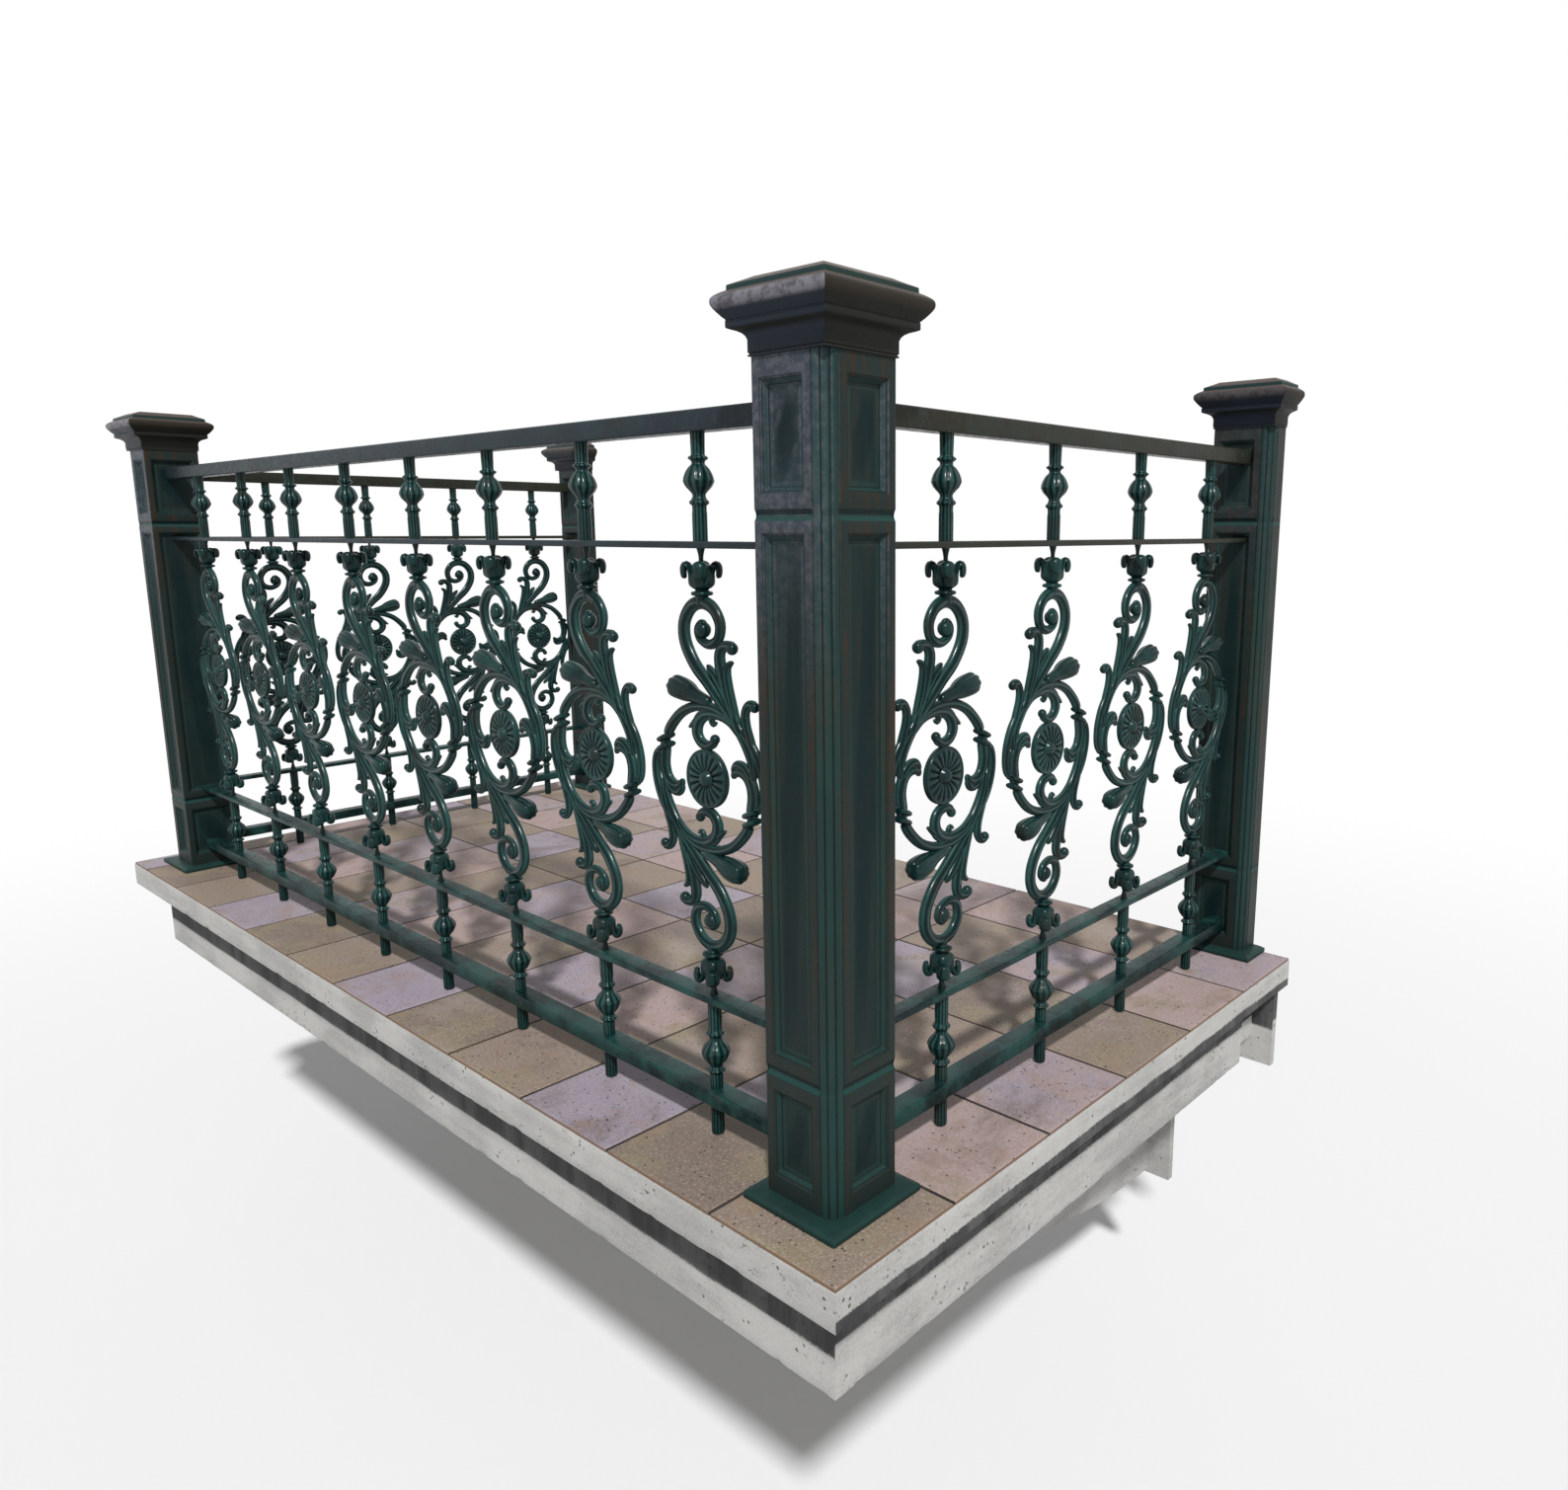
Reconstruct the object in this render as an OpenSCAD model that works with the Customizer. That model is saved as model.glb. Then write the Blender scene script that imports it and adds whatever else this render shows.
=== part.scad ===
// Projecting balcony with a cast-iron scroll railing.
// X runs along the wall, the wall face is the plane Y = 0, and the balcony projects towards -Y.
// The origin is the centre of the slab's back face, half way up the slab.

/* [Platform] */
// Width of the slab along the wall
slab_w = 2864; // [2400:1:3300]
// Projection of the slab from the wall
slab_d = 1500; // [1300:1:1800]
// Thickness of the concrete slab
slab_t = 60; // [50:1:90]
// Thickness of the tile layer
tile_t = 6; // [4:1:15]
// Distance of the tiles' edge behind the slab's edge
tile_inset = 2; // [0:0.5:6]

/* [Edge beams] */
// Height of the bands under the slab's rim
beam_h = 138; // [110:1:190]
// Thickness of the bands
beam_t = 38; // [30:1:60]
// Distance of the bands behind the slab's edge
beam_inset = 33; // [20:1:50]
// Distance at which the side bands stop short of the wall
beam_wall_gap = 96; // [40:1:160]

/* [Brackets] */
// Thickness of the wall plates
plate_t = 20; // [12:1:35]
// Width of the straight bracket behind each side band
edge_bracket_w = 70; // [50:1:100]
// Distance that the edge brackets' wall plates stand out to each side
edge_plate_margin = 50; // [30:1:70]
// Distance that the edge brackets' wall plates reach below the bands
edge_plate_drop = 61; // [30:1:100]
// Width of each inner bracket
inner_bracket_w = 110; // [80:1:160]
// Distance from the slab's side edge to the inner bracket's outer face
inner_bracket_setback = 317; // [250:1:420]
// Depth of each inner bracket below the slab, at the wall
inner_bracket_h = 579; // [460:1:700]
// Length over which the inner bracket's lower edge curves up
inner_bracket_curve = 1150; // [900:1:1250]
// Distance that the inner brackets' wall plates stand out to each side
inner_plate_margin = 57; // [40:1:70]
// Distance that the inner brackets' wall plates reach below the brackets
inner_plate_drop = 12; // [4:1:30]

/* [Posts] */
// Distance from the post's centre line to the slab's edge
post_inset = 152; // [135:1:190]
// Width of the post's shaft across its flat faces
post_w = 132; // [124:1:140]
// Width of the corner cut that carries the reeds
reed_corner = 25; // [22:1:28]
// Radius of each reed
reed_r = 5.3; // [3:0.1:6]
// Number of reeds round the corner
reed_count = 3; // [2:1:6]
// Height of the shaft's top above the floor
shaft_top = 1178; // [1172:1:1210]
// Width of the square base plate
base_w = 186; // [176:1:200]
// Thickness of the base plate
base_t = 12; // [8:1:18]
// Width of the frame round each recessed panel
panel_frame = 14; // [12:0.5:18]
// Depth of the panels' field
panel_depth = 10; // [8:0.5:12]
// Width of the bevel round each panel's field
panel_bevel = 9; // [6:0.5:11]
// Height of the lower groove's middle above the floor
groove_low = 203; // [196:1:208]
// Height of the upper groove's middle above the floor
groove_high = 980; // [974:1:988]
// Height of each groove
groove_h = 16; // [12:1:22]
// Depth of each groove
groove_depth = 3; // [2:0.5:9]

/* [Rails] */
// Width of the flat bars
rail_w = 34; // [28:1:44]
// Height of the handrail's top above the floor
handrail_top = 1131; // [1105:1:1145]
// Thickness of the handrail
handrail_t = 31; // [24:1:36]
// Height of the second rail's top above the floor
second_top = 945; // [942:1:950]
// Thickness of the second rail
second_t = 10; // [8:1:12]
// Height of the third rail's top above the floor
third_top = 239; // [236:1:242]
// Thickness of the third rail
third_t = 11; // [8:1:12]
// Height of the bottom rail's top above the floor
bottom_top = 80; // [70:1:90]
// Thickness of the bottom rail
bottom_t = 25; // [16:1:32]
// Width of the bottom rail
bottom_w = 40; // [30:1:46]

/* [Balusters] */
// Number of balusters in the front railing
front_count = 8; // [6:1:9]
// Number of balusters in each side railing
side_count = 4; // [3:1:4]
// Clear distance from a corner post to the next ornament, as a multiple of that between two ornaments
end_share = 1.775; // [1:0.005:2.5]
// Clear distance from a wall post to the next ornament, as a multiple of that between two ornaments
wall_share = 0.558; // [0.4:0.002:1.2]
// Radius of the plain stems
stem_r = 8.5; // [7:0.25:9.5]
// Radius of the thin rings on the stems
ring_r = 14; // [12:0.25:16]
// Radius of the knops
knop_r = 21.8; // [19:0.2:24]
// Height of the upper knop's middle above the floor
knop_high = 1031; // [1026:1:1036]
// Height of the lower knop's middle above the floor
knop_low = 144; // [140:1:148]
// Height of the rosette's middle above the floor
rosette_z = 588; // [584:1:592]
// Radius of the rosette
rosette_r = 46; // [42:0.5:48]
// Radius of the ring round the rosette, to the middle of its bar
scroll_ring_r = 107; // [104:0.5:110]
// Radius of the scroll's bar at the ring
bar_r = 9.4; // [8.6:0.1:10]
// Clearance round a stem in a rail's hole
hole_clearance = 0.3; // [0.2:0.05:0.6]

/* [Hidden] */
$fn = 48;

floor_z = slab_t / 2 + tile_t;
slab_under = -slab_t / 2;
beam_under = slab_under - beam_h;
beam_out_x = slab_w / 2 - beam_inset;
beam_in_x = beam_out_x - beam_t;
beam_front_y = -(slab_d - beam_inset);
beam_back_y = beam_front_y + beam_t;
post_x = slab_w / 2 - post_inset;
post_y = -(slab_d - post_inset);
face = post_w / 2;
flat = face - reed_corner;
rail_reach = face - panel_depth;
reach = scroll_ring_r + 22;
front_clear = (2 * post_x - post_w - 2 * front_count * reach) / (front_count - 1 + 2 * end_share);
front_pitch = 2 * reach + front_clear;
front_gap = face + reach + end_share * front_clear;
side_clear = (-post_y - post_w - 2 * side_count * reach) / (side_count - 1 + end_share + wall_share);
side_pitch = 2 * reach + side_clear;
side_gap = face + reach + end_share * side_clear;
bracket_out_x = slab_w / 2 - inner_bracket_setback;
curve_r = (pow(inner_bracket_curve, 2) + pow(inner_bracket_h - beam_h, 2)) / (2 * (inner_bracket_h - beam_h));
reed_ring = reed_corner - reed_r;
panel_rows = [[base_t + 28, groove_low - 28], [groove_low + 22, groove_high - 23],
              [groove_high + 26, shaft_top - 26]];
lap = 2;
big = 400;
pin_r = 10;
tube_fn = 24;
ring_t = 11;
stem_from = 345;

iron = [0.17, 0.27, 0.25];
concrete = [0.74, 0.74, 0.71];
tile = [0.66, 0.58, 0.56];

// Box given by its lowest and highest corner
module span(low, high) {
    translate(low) cube(high - low);
}

// The shapes it is given, and their mirror images across the plane X = 0
module both_sides() {
    children();
    mirror([1, 0, 0]) children();
}

// Platform

module slab() {
    color(concrete)
        span([-slab_w / 2, -slab_d, -slab_t / 2], [slab_w / 2, 0, slab_t / 2]);
}

module tile_floor() {
    color(tile)
        span([-slab_w / 2 + tile_inset, -slab_d + tile_inset, slab_t / 2],
             [slab_w / 2 - tile_inset, 0, floor_z]);
}

module front_edge_beam() {
    color(concrete)
        span([-beam_out_x, beam_front_y, beam_under], [beam_out_x, beam_back_y, slab_under]);
}

module side_edge_beam() {
    color(concrete)
        span([beam_in_x, beam_back_y, beam_under], [beam_out_x, -beam_wall_gap, slab_under]);
}

module right_edge_beam() {
    side_edge_beam();
}

module left_edge_beam() {
    mirror([1, 0, 0]) side_edge_beam();
}

// Straight cantilever with its wall plate, on the right
module edge_bracket() {
    span([beam_in_x - edge_bracket_w, beam_back_y, beam_under], [beam_in_x, -plate_t / 2, slab_under]);
    span([beam_in_x - edge_bracket_w - edge_plate_margin, -plate_t, beam_under - edge_plate_drop],
         [beam_in_x + edge_plate_margin, 0, slab_under]);
}

module edge_brackets() {
    color(concrete)
        both_sides() edge_bracket();
}

// Deep bracket, its lower edge an arc that is level at the wall
module inner_bracket() {
    low = slab_under - inner_bracket_h;
    color(concrete) {
        span([bracket_out_x - inner_bracket_w, beam_back_y, beam_under],
             [bracket_out_x, -plate_t / 2, slab_under]);
        intersection() {
            span([bracket_out_x - inner_bracket_w, -slab_d, low - lap],
                 [bracket_out_x, -plate_t / 2, slab_under - lap]);
            translate([0, 0, low + curve_r])
                rotate([0, 90, 0])
                    cylinder(h = slab_w, r = curve_r, $fn = 360);
        }
        span([bracket_out_x - inner_bracket_w - inner_plate_margin, -plate_t, low - inner_plate_drop],
             [bracket_out_x + inner_plate_margin, 0, slab_under]);
    }
}

module inner_bracket_right() {
    inner_bracket();
}

module inner_bracket_left() {
    mirror([1, 0, 0]) inner_bracket();
}

// Posts

// Puts its shapes on the right corner post's place, heights counted from the floor
module at_corner() {
    translate([post_x, post_y, floor_z]) children();
}

// Puts its shapes on the right wall post's place and keeps what is in front of the wall
module at_wall() {
    translate([post_x, 0, floor_z])
        difference() {
            children();
            span([-big, 0, -big], [big, big, shaft_top + big]);
        }
}

// Bevelled recess in the face that looks to -Y, from x0 to x1 and z0 to z1
module recess(x0, x1, z0, z1) {
    over = panel_bevel / panel_depth;
    intersection() {
        translate([0, 0, z0 - lap])
            linear_extrude(z1 - z0 + 2 * lap)
                polygon([[x0 - over, -face - 1], [x1 + over, -face - 1],
                         [x1 - panel_bevel, -rail_reach], [x0 + panel_bevel, -rail_reach]]);
        translate([x0 - lap, 0, 0])
            rotate([90, 0, 90])
                linear_extrude(x1 - x0 + 2 * lap)
                    polygon([[-face - 1, z0 - over], [-face - 1, z1 + over],
                             [-rail_reach, z1 - panel_bevel], [-rail_reach, z0 + panel_bevel]]);
    }
}

// Groove of triangular section along the face that looks to -Y
module groove(x0, x1, z) {
    translate([x0, 0, z])
        rotate([90, 0, 90])
            linear_extrude(x1 - x0)
                polygon([[-face - 1, -groove_h / 2 - 1], [-face + groove_depth, 0],
                         [-face - 1, groove_h / 2 + 1]]);
}

// All that is cut out of one face: three recesses and two grooves
module face_cuts(x0, x1) {
    for (row = panel_rows)
        recess(x0 + panel_frame, x1 - panel_frame, row[0], row[1]);
    for (z = [groove_low, groove_high])
        groove(x0 - lap, x1 + (x1 < face ? 0 : lap), z);
}

// Section of a shaft: a square whose corner at +X and -Y is rounded and reeded
module shaft_section() {
    difference() {
        square(post_w, center = true);
        translate([flat, -face - 1]) square([reed_corner + 1, reed_corner + 1]);
    }
    translate([flat, -flat]) {
        polygon(concat([[-lap, lap], [-lap, -reed_ring]],
                       [for (i = [0:reed_count])
                           let (a = -90 + 90 * i / reed_count)
                           reed_ring * [cos(a), sin(a)]],
                       [[reed_ring, lap]]));
        for (i = [0:reed_count - 1])
            rotate(-90 + 90 * (i + 0.5) / reed_count)
                translate([reed_ring, 0]) circle(r = reed_r, $fn = 24);
    }
}

// Shaft with its recesses and grooves
module shaft() {
    color(iron)
        difference() {
            translate([0, 0, base_t]) linear_extrude(shaft_top - base_t) shaft_section();
            face_cuts(-face, flat);
            mirror([1, 1, 0]) face_cuts(-face, flat);
            rotate([0, 0, 180]) face_cuts(-face, face);
            rotate([0, 0, -90]) face_cuts(-face, face);
        }
}

module corner_post_right() {
    at_corner() shaft();
}

module corner_post_left() {
    mirror([1, 0, 0]) at_corner() shaft();
}

module wall_post_right() {
    at_wall() shaft();
}

module wall_post_left() {
    mirror([1, 0, 0]) at_wall() shaft();
}

module base_plate() {
    half = base_w / 2;
    span([-half, -half, 0], [half, half, base_t]);
}

module post_base_plates() {
    color(iron)
        both_sides() {
            at_corner() base_plate();
            at_wall() base_plate();
        }
}

// Outline of the cap's right half, from the shaft's face outwards and from its top upwards
module cap_outline() {
    cap_h = 97.5;
    translate([face, shaft_top])
        difference() {
            polygon([[-face, 0], [3, 0], [3, 22], [6, 22], [22.5, 33], [22.5, 44], [25, 47], [33, 60],
                     [36, 65], [36, 69], [34, 72], [23, 79], [21, 80], [21, 86], [19, 87], [-3, cap_h],
                     [-face, cap_h]]);
            translate([19, 24]) circle(r = 10);
        }
}

// One run of the cap's moulding, along Y
module cap_run() {
    translate([0, 2 * face, 0])
        rotate([90, 0, 0])
            linear_extrude(4 * face) {
                cap_outline();
                mirror([1, 0]) cap_outline();
            }
}

module cap() {
    color(iron)
        intersection() {
            cap_run();
            rotate([0, 0, 90]) cap_run();
        }
}

module corner_cap_right() {
    at_corner() cap();
}

module corner_cap_left() {
    mirror([1, 0, 0]) at_corner() cap();
}

module wall_cap_right() {
    at_wall() cap();
}

module wall_cap_left() {
    mirror([1, 0, 0]) at_wall() cap();
}

// Rails

// Flat bar with eased edges along X from x0 to x1, its top at a height above the floor
module bar(x0, x1, top, thick, wide, ease) {
    y = wide / 2;
    translate([x0, 0, top])
        rotate([90, 0, 90])
            linear_extrude(x1 - x0)
                polygon([[-y + ease, 0], [y - ease, 0], [y, -ease], [y, ease - thick],
                         [y - ease, -thick], [ease - y, -thick], [-y, ease - thick], [-y, -ease]]);
}

// Holes for the stems, the first one a gap away from the corner post's centre
module stem_holes(count, gap, pitch, top, thick, r) {
    for (i = [0:count - 1])
        translate([-gap - i * pitch, 0, top - thick - 1])
            cylinder(h = thick + 2, r = r + hole_clearance);
}

// One bar of the front railing and one of the right railing, the second turned from the first
module front_bar(top, thick, wide, ease, r) {
    translate([post_x, post_y, floor_z])
        difference() {
            bar(-2 * post_x + rail_reach, -rail_reach, top, thick, wide, ease);
            if (r > 0) stem_holes(front_count, front_gap, front_pitch, top, thick, r);
        }
}

module right_bar(top, thick, wide, ease, r) {
    translate([post_x, post_y, floor_z])
        rotate([0, 0, -90])
            difference() {
                bar(post_y + rail_reach, -rail_reach, top, thick, wide, ease);
                if (r > 0) stem_holes(side_count, side_gap, side_pitch, top, thick, r);
            }
}

module rail_set(top, thick, wide, ease, r) {
    color(iron) {
        front_bar(top, thick, wide, ease, r);
        both_sides() right_bar(top, thick, wide, ease, r);
    }
}

module handrail_front() {
    color(iron) front_bar(handrail_top, handrail_t, rail_w, 3, 0);
}

module handrail_right() {
    color(iron) right_bar(handrail_top, handrail_t, rail_w, 3, 0);
}

module handrail_left() {
    mirror([1, 0, 0]) handrail_right();
}

module second_rails() {
    rail_set(second_top, second_t, rail_w, 1.5, stem_r);
}

module third_rails() {
    rail_set(third_top, third_t, rail_w, 1.5, stem_r);
}

module bottom_rails() {
    rail_set(bottom_top, bottom_t, bottom_w, 2.5, pin_r);
}

// Balusters

// Piece of bar bent to an arc in the plane Y = 0, about c, from angle a0 to a1. Its section is the child.
module arc_bar(c, radius, a0, a1) {
    translate([c[0], 0, c[1]])
        rotate([90, 0, 0])
            rotate([0, 0, min(a0, a1)])
                rotate_extrude(angle = abs(a1 - a0))
                    translate([radius, 0]) children();
}

// Round bar through a row of arcs that follow on each other without a kink, with a ball at its end.
// Each leg is [radius of the arc, angle it turns through, radius of the bar].
module scroll(p, heading, legs, ball, n = 0) {
    if (n < len(legs)) {
        arc_bar(leg_middle(p, heading, legs[n]), legs[n][0], leg_start(heading, legs[n], n),
                leg_end(heading, legs[n])) circle(r = legs[n][2], $fn = tube_fn);
        scroll(leg_tip(p, heading, legs[n]), heading + legs[n][1], legs, ball, n + 1);
    } else {
        translate([p[0], 0, p[1]]) sphere(r = ball, $fn = tube_fn);
    }
}

// Flat leaf through a row of arcs, with a button at its end.
// Each leg is [radius of the arc, angle it turns through, width of the leaf].
module leaf(p, heading, legs, button, thick, n = 0) {
    if (n < len(legs)) {
        arc_bar(leg_middle(p, heading, legs[n]), legs[n][0], leg_start(heading, legs[n], n),
                leg_end(heading, legs[n])) square([legs[n][2], thick - n * 0.5], center = true);
        leaf(leg_tip(p, heading, legs[n]), heading + legs[n][1], legs, button, thick, n + 1);
    } else {
        translate([p[0], 0, p[1]])
            rotate([90, 0, 0])
                cylinder(h = thick + 2, r = button, center = true, $fn = tube_fn);
    }
}

function turn_side(leg) = leg[1] > 0 ? 1 : -1;
function leg_middle(p, heading, leg) = p + turn_side(leg) * leg[0] * [-sin(heading), cos(heading)];
function leg_start(heading, leg, n) =
    heading - turn_side(leg) * (90 + (n == 0 ? 0 : lap / leg[0] * 180 / PI));
function leg_end(heading, leg) = heading - turn_side(leg) * 90 + leg[1];
function leg_tip(p, heading, leg) =
    leg_middle(p, heading, leg) + leg[0] * [cos(leg_end(heading, leg)), sin(leg_end(heading, leg))];

// Upper half of the ornament, heights counted from the rosette's middle
module scroll_half() {
    branch = 50;
    p = scroll_ring_r * [cos(branch), sin(branch)];
    // Main scroll, from the ring up and round its eye
    scroll(p, branch + 90, [[855, -10, bar_r], [46, -130, bar_r - 0.4], [39, -90, bar_r - 0.8],
                            [23, -100, bar_r - 1.3], [15, -100, bar_r - 1.9]], 11);
    // Tall leaf that curls over to the outside
    leaf([70.5, 80.5], 133, [[118, -43, 13], [150, -14, 12], [12, -170, 10.5]], 8, 10);
    // Short leaf beside the ring
    leaf([88, 58], 110, [[150, -26, 11.5], [9, -120, 10]], 7, 8);
    // Curl inside the ring, down to the rosette
    leaf([62, 88], 151, [[70, 41, 12], [26, 110, 11.5], [15, 100, 10.5]], 9, 9.4);
    // Bud on its stalk
    translate([12, 0, 120])
        rotate([0, -77, 0])
            rotate_extrude()
                polygon([[0, -8], [6, -8], [7, 20], [10, 28], [10, 34], [13, 40], [16.6, 56], [17, 68],
                         [14.5, 80], [9, 89], [0, 93]]);
    // Collar and curled leaf at the ring's other side
    for (a = [148, 156])
        rotate([0, -a, 0])
            translate([scroll_ring_r, 0, 0])
                cylinder(h = 5, r = 12, center = true, $fn = tube_fn);
    leaf([-106, 14], -94, [[120, 8, 11.5], [24, 125, 11]], 8.5, 7.4);
    // Sheath outside the ring, hooked at its top
    leaf([-81, -67], 146, [[98, -70, 12], [9, -150, 10.5]], 7, 8.7);
}

// Revolved rosette with a ring of petals, both faces alike
module rosette() {
    petals = 16;
    petal_r = 6.2;
    rotate([90, 0, 0]) {
        rotate_extrude()
            polygon([[0, -13], [8, -11.5], [12, -7], [14, -2.4], [rosette_r - 5, -2.4],
                     [rosette_r - 5, -6], [rosette_r, -3.5], [rosette_r, 3.5], [rosette_r - 5, 6],
                     [rosette_r - 5, 2.4], [14, 2.4], [12, 7], [8, 11.5], [0, 13]]);
        linear_extrude(9, center = true)
            for (i = [0:petals - 1])
                rotate(i * 360 / petals)
                    translate([rosette_r - 14, 0])
                        circle(r = petal_r, $fn = tube_fn);
    }
}

// Stem, rings and cup between the ornament and the second rail, from its top downwards
module cup_half() {
    rotate_extrude()
        polygon([[0, 262], [8.8, 262], [8.8, 277], [15.8, 278], [15.8, 284], [8, 286], [7.6, 290],
                 [12, 292], [16.5, 297], [18, 306], [18.6, 322], [14, 326], [6, 328], [6, 336],
                 [stem_r, 346], [stem_r, 350], [0, 350]]);
    for (i = [0:3])
        rotate([0, 0, i * 90])
            petal();
}

// Lip of one petal of the cup, a broad strip bent outwards and down
module petal() {
    bend = 6.8;
    translate([23.7, 0, 324])
        rotate([90, 0, 0])
            rotate([0, 0, -25])
                rotate_extrude(angle = 205)
                    translate([bend, 0]) square([4.6, 21], center = true);
}

module baluster() {
    upper = knop_high;
    lower = knop_low;
    color(iron) {
        translate([0, 0, rosette_z]) {
            rosette();
            arc_bar([0, 0], scroll_ring_r, 0, 360) square([15, ring_t], center = true);
            for (turn = [0, 180])
                rotate([0, turn, 0]) {
                    scroll_half();
                    cup_half();
                }
        }
        rotate_extrude()
            polygon([[0, handrail_top - handrail_t], [stem_r, handrail_top - handrail_t],
                     [stem_r, upper + 36], [ring_r, upper + 34], [ring_r, upper + 30],
                     [9.6, upper + 28], [9.6, upper + 22], [14, upper + 18], [19, upper + 12],
                     [knop_r, upper + 5], [knop_r, upper - 1], [18, upper - 7], [12.5, upper - 13],
                     [11.5, upper - 17], [11.5, upper - 27], [13.5, upper - 29], [13.5, upper - 33],
                     [stem_r, upper - 35], [stem_r, rosette_z + stem_from], [0, rosette_z + stem_from]]);
        rotate_extrude()
            polygon([[0, rosette_z - stem_from], [stem_r, rosette_z - stem_from], [stem_r, lower + 36],
                     [13.5, lower + 34], [13.5, lower + 30], [11.5, lower + 28], [11.5, lower + 18],
                     [12.5, lower + 14], [18, lower + 8], [knop_r, lower + 2], [knop_r, lower - 4],
                     [19, lower - 11], [14, lower - 17], [pin_r, lower - 22], [pin_r, lower - 26],
                     [ring_r, lower - 28], [ring_r, lower - 32], [pin_r, lower - 34], [pin_r, 0],
                     [0, 0]]);
    }
}

module front_baluster(i) {
    translate([post_x - front_gap - (front_count - i) * front_pitch, post_y, floor_z]) baluster();
}

// The side balusters turn with their railing, their ornament towards the corner post as in front
module right_baluster(i) {
    translate([post_x, post_y + side_gap + (i - 1) * side_pitch, floor_z])
        rotate([0, 0, -90]) baluster();
}

module left_baluster(i) {
    mirror([1, 0, 0]) right_baluster(i);
}

slab();
tile_floor();
front_edge_beam();
right_edge_beam();
left_edge_beam();
edge_brackets();
inner_bracket_right();
inner_bracket_left();
post_base_plates();
corner_post_right();
corner_post_left();
wall_post_right();
wall_post_left();
corner_cap_right();
corner_cap_left();
wall_cap_right();
wall_cap_left();
handrail_front();
handrail_right();
handrail_left();
second_rails();
third_rails();
bottom_rails();
front_baluster(1);  // front_baluster_1
front_baluster(2);  // front_baluster_2
front_baluster(3);  // front_baluster_3
front_baluster(4);  // front_baluster_4
front_baluster(5);  // front_baluster_5
front_baluster(6);  // front_baluster_6
front_baluster(7);  // front_baluster_7
front_baluster(8);  // front_baluster_8
right_baluster(1);  // right_baluster_1
right_baluster(2);  // right_baluster_2
right_baluster(3);  // right_baluster_3
right_baluster(4);  // right_baluster_4
left_baluster(1);  // left_baluster_1
left_baluster(2);  // left_baluster_2
left_baluster(3);  // left_baluster_3
left_baluster(4);  // left_baluster_4
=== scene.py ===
"""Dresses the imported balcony: weathered concrete, speckled floor tiles and a painted cast-iron railing."""

import math

import bmesh
import bpy
import numpy as np
from bpy.props import FloatProperty, FloatVectorProperty, PointerProperty
from mathutils import Matrix, Vector


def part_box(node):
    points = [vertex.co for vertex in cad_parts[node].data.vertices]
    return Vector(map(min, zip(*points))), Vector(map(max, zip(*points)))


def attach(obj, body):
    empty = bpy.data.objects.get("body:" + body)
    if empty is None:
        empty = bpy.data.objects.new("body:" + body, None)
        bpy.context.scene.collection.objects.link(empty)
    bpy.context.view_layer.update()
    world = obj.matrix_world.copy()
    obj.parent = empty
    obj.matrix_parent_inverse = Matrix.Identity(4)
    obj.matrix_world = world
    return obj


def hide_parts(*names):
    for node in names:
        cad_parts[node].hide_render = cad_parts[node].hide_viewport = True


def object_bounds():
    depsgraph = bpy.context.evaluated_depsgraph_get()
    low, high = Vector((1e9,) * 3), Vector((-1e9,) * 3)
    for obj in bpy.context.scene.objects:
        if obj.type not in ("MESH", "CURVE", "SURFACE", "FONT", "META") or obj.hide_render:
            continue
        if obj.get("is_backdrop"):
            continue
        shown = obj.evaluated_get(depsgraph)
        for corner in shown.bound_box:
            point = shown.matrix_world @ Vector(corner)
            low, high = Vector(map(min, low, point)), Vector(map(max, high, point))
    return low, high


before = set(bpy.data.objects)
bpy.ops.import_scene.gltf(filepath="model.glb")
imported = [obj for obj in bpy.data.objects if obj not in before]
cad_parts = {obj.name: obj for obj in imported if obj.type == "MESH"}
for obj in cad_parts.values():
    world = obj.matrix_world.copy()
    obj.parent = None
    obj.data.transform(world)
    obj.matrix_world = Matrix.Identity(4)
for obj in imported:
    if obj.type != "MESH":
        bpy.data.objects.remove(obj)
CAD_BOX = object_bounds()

bl_info = {
    "name": "Cast-iron balcony",
    "version": (1, 0, 0),
    "blender": (4, 5, 0),
    "location": "3D View > Sidebar > Balcony",
    "description": "Builds and finishes the pieces of a projecting balcony with a scrolled railing",
    "category": "Add Mesh",
}

MM = 0.001


def node_centre(name):
    """Middle of a CAD node's box in metres."""
    low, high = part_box(name)
    return (low + high) / 2


# Places and sizes in millimetres, from the CAD nodes
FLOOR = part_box("tile_floor")[1].z / MM
POST_X = node_centre("corner_post_right").x / MM
POST_Y = node_centre("corner_post_right").y / MM
SLAB_LOW, SLAB_HIGH = (np.array(corner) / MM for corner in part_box("slab"))
FLOOR_TO_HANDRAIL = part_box("handrail_front")[0].z / MM - FLOOR
SIDES = ((1, "right"), (-1, "left"))
FRONT_BALUSTERS = 8
SIDE_BALUSTERS = 4

# Height of the rosette's middle over the floor
ROSETTE_Z = 588.0

# Tones of the tiles by column from the right and row from the front; the laying repeats by three
LAYING = ((0.33, 0.62, 0.82), (0.08, 0.82, 0.33), (0.98, 0.33, 0.62))
TONE_SPREAD = 0.06

# Other tones, by which a finish tells places apart
BED_TONE = -1.0
SOLID_TONE = 0.6
CAP_TONE = 0.3
FOOT_TONE = 0.62

# Tiles: the most that one lies low, the bed's inset and depth, and where the tiles start over its underside
UNEVEN = 0.5
BED_INSET = 0.6
BED_DEPTH = 1.6
TILE_BOTTOM = 0.5

# In metres: the brackets' eased edges, and the distance under which two points are one
BRACKET_EASING = 0.003
WELD = 2e-6

# Stage: direction to the key light, and the floor's size and place in metres
TO_LIGHT = (0.51, -0.43, 0.745)
FLOOR_SIZE = 60.0
FLOOR_Y = -0.8

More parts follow.
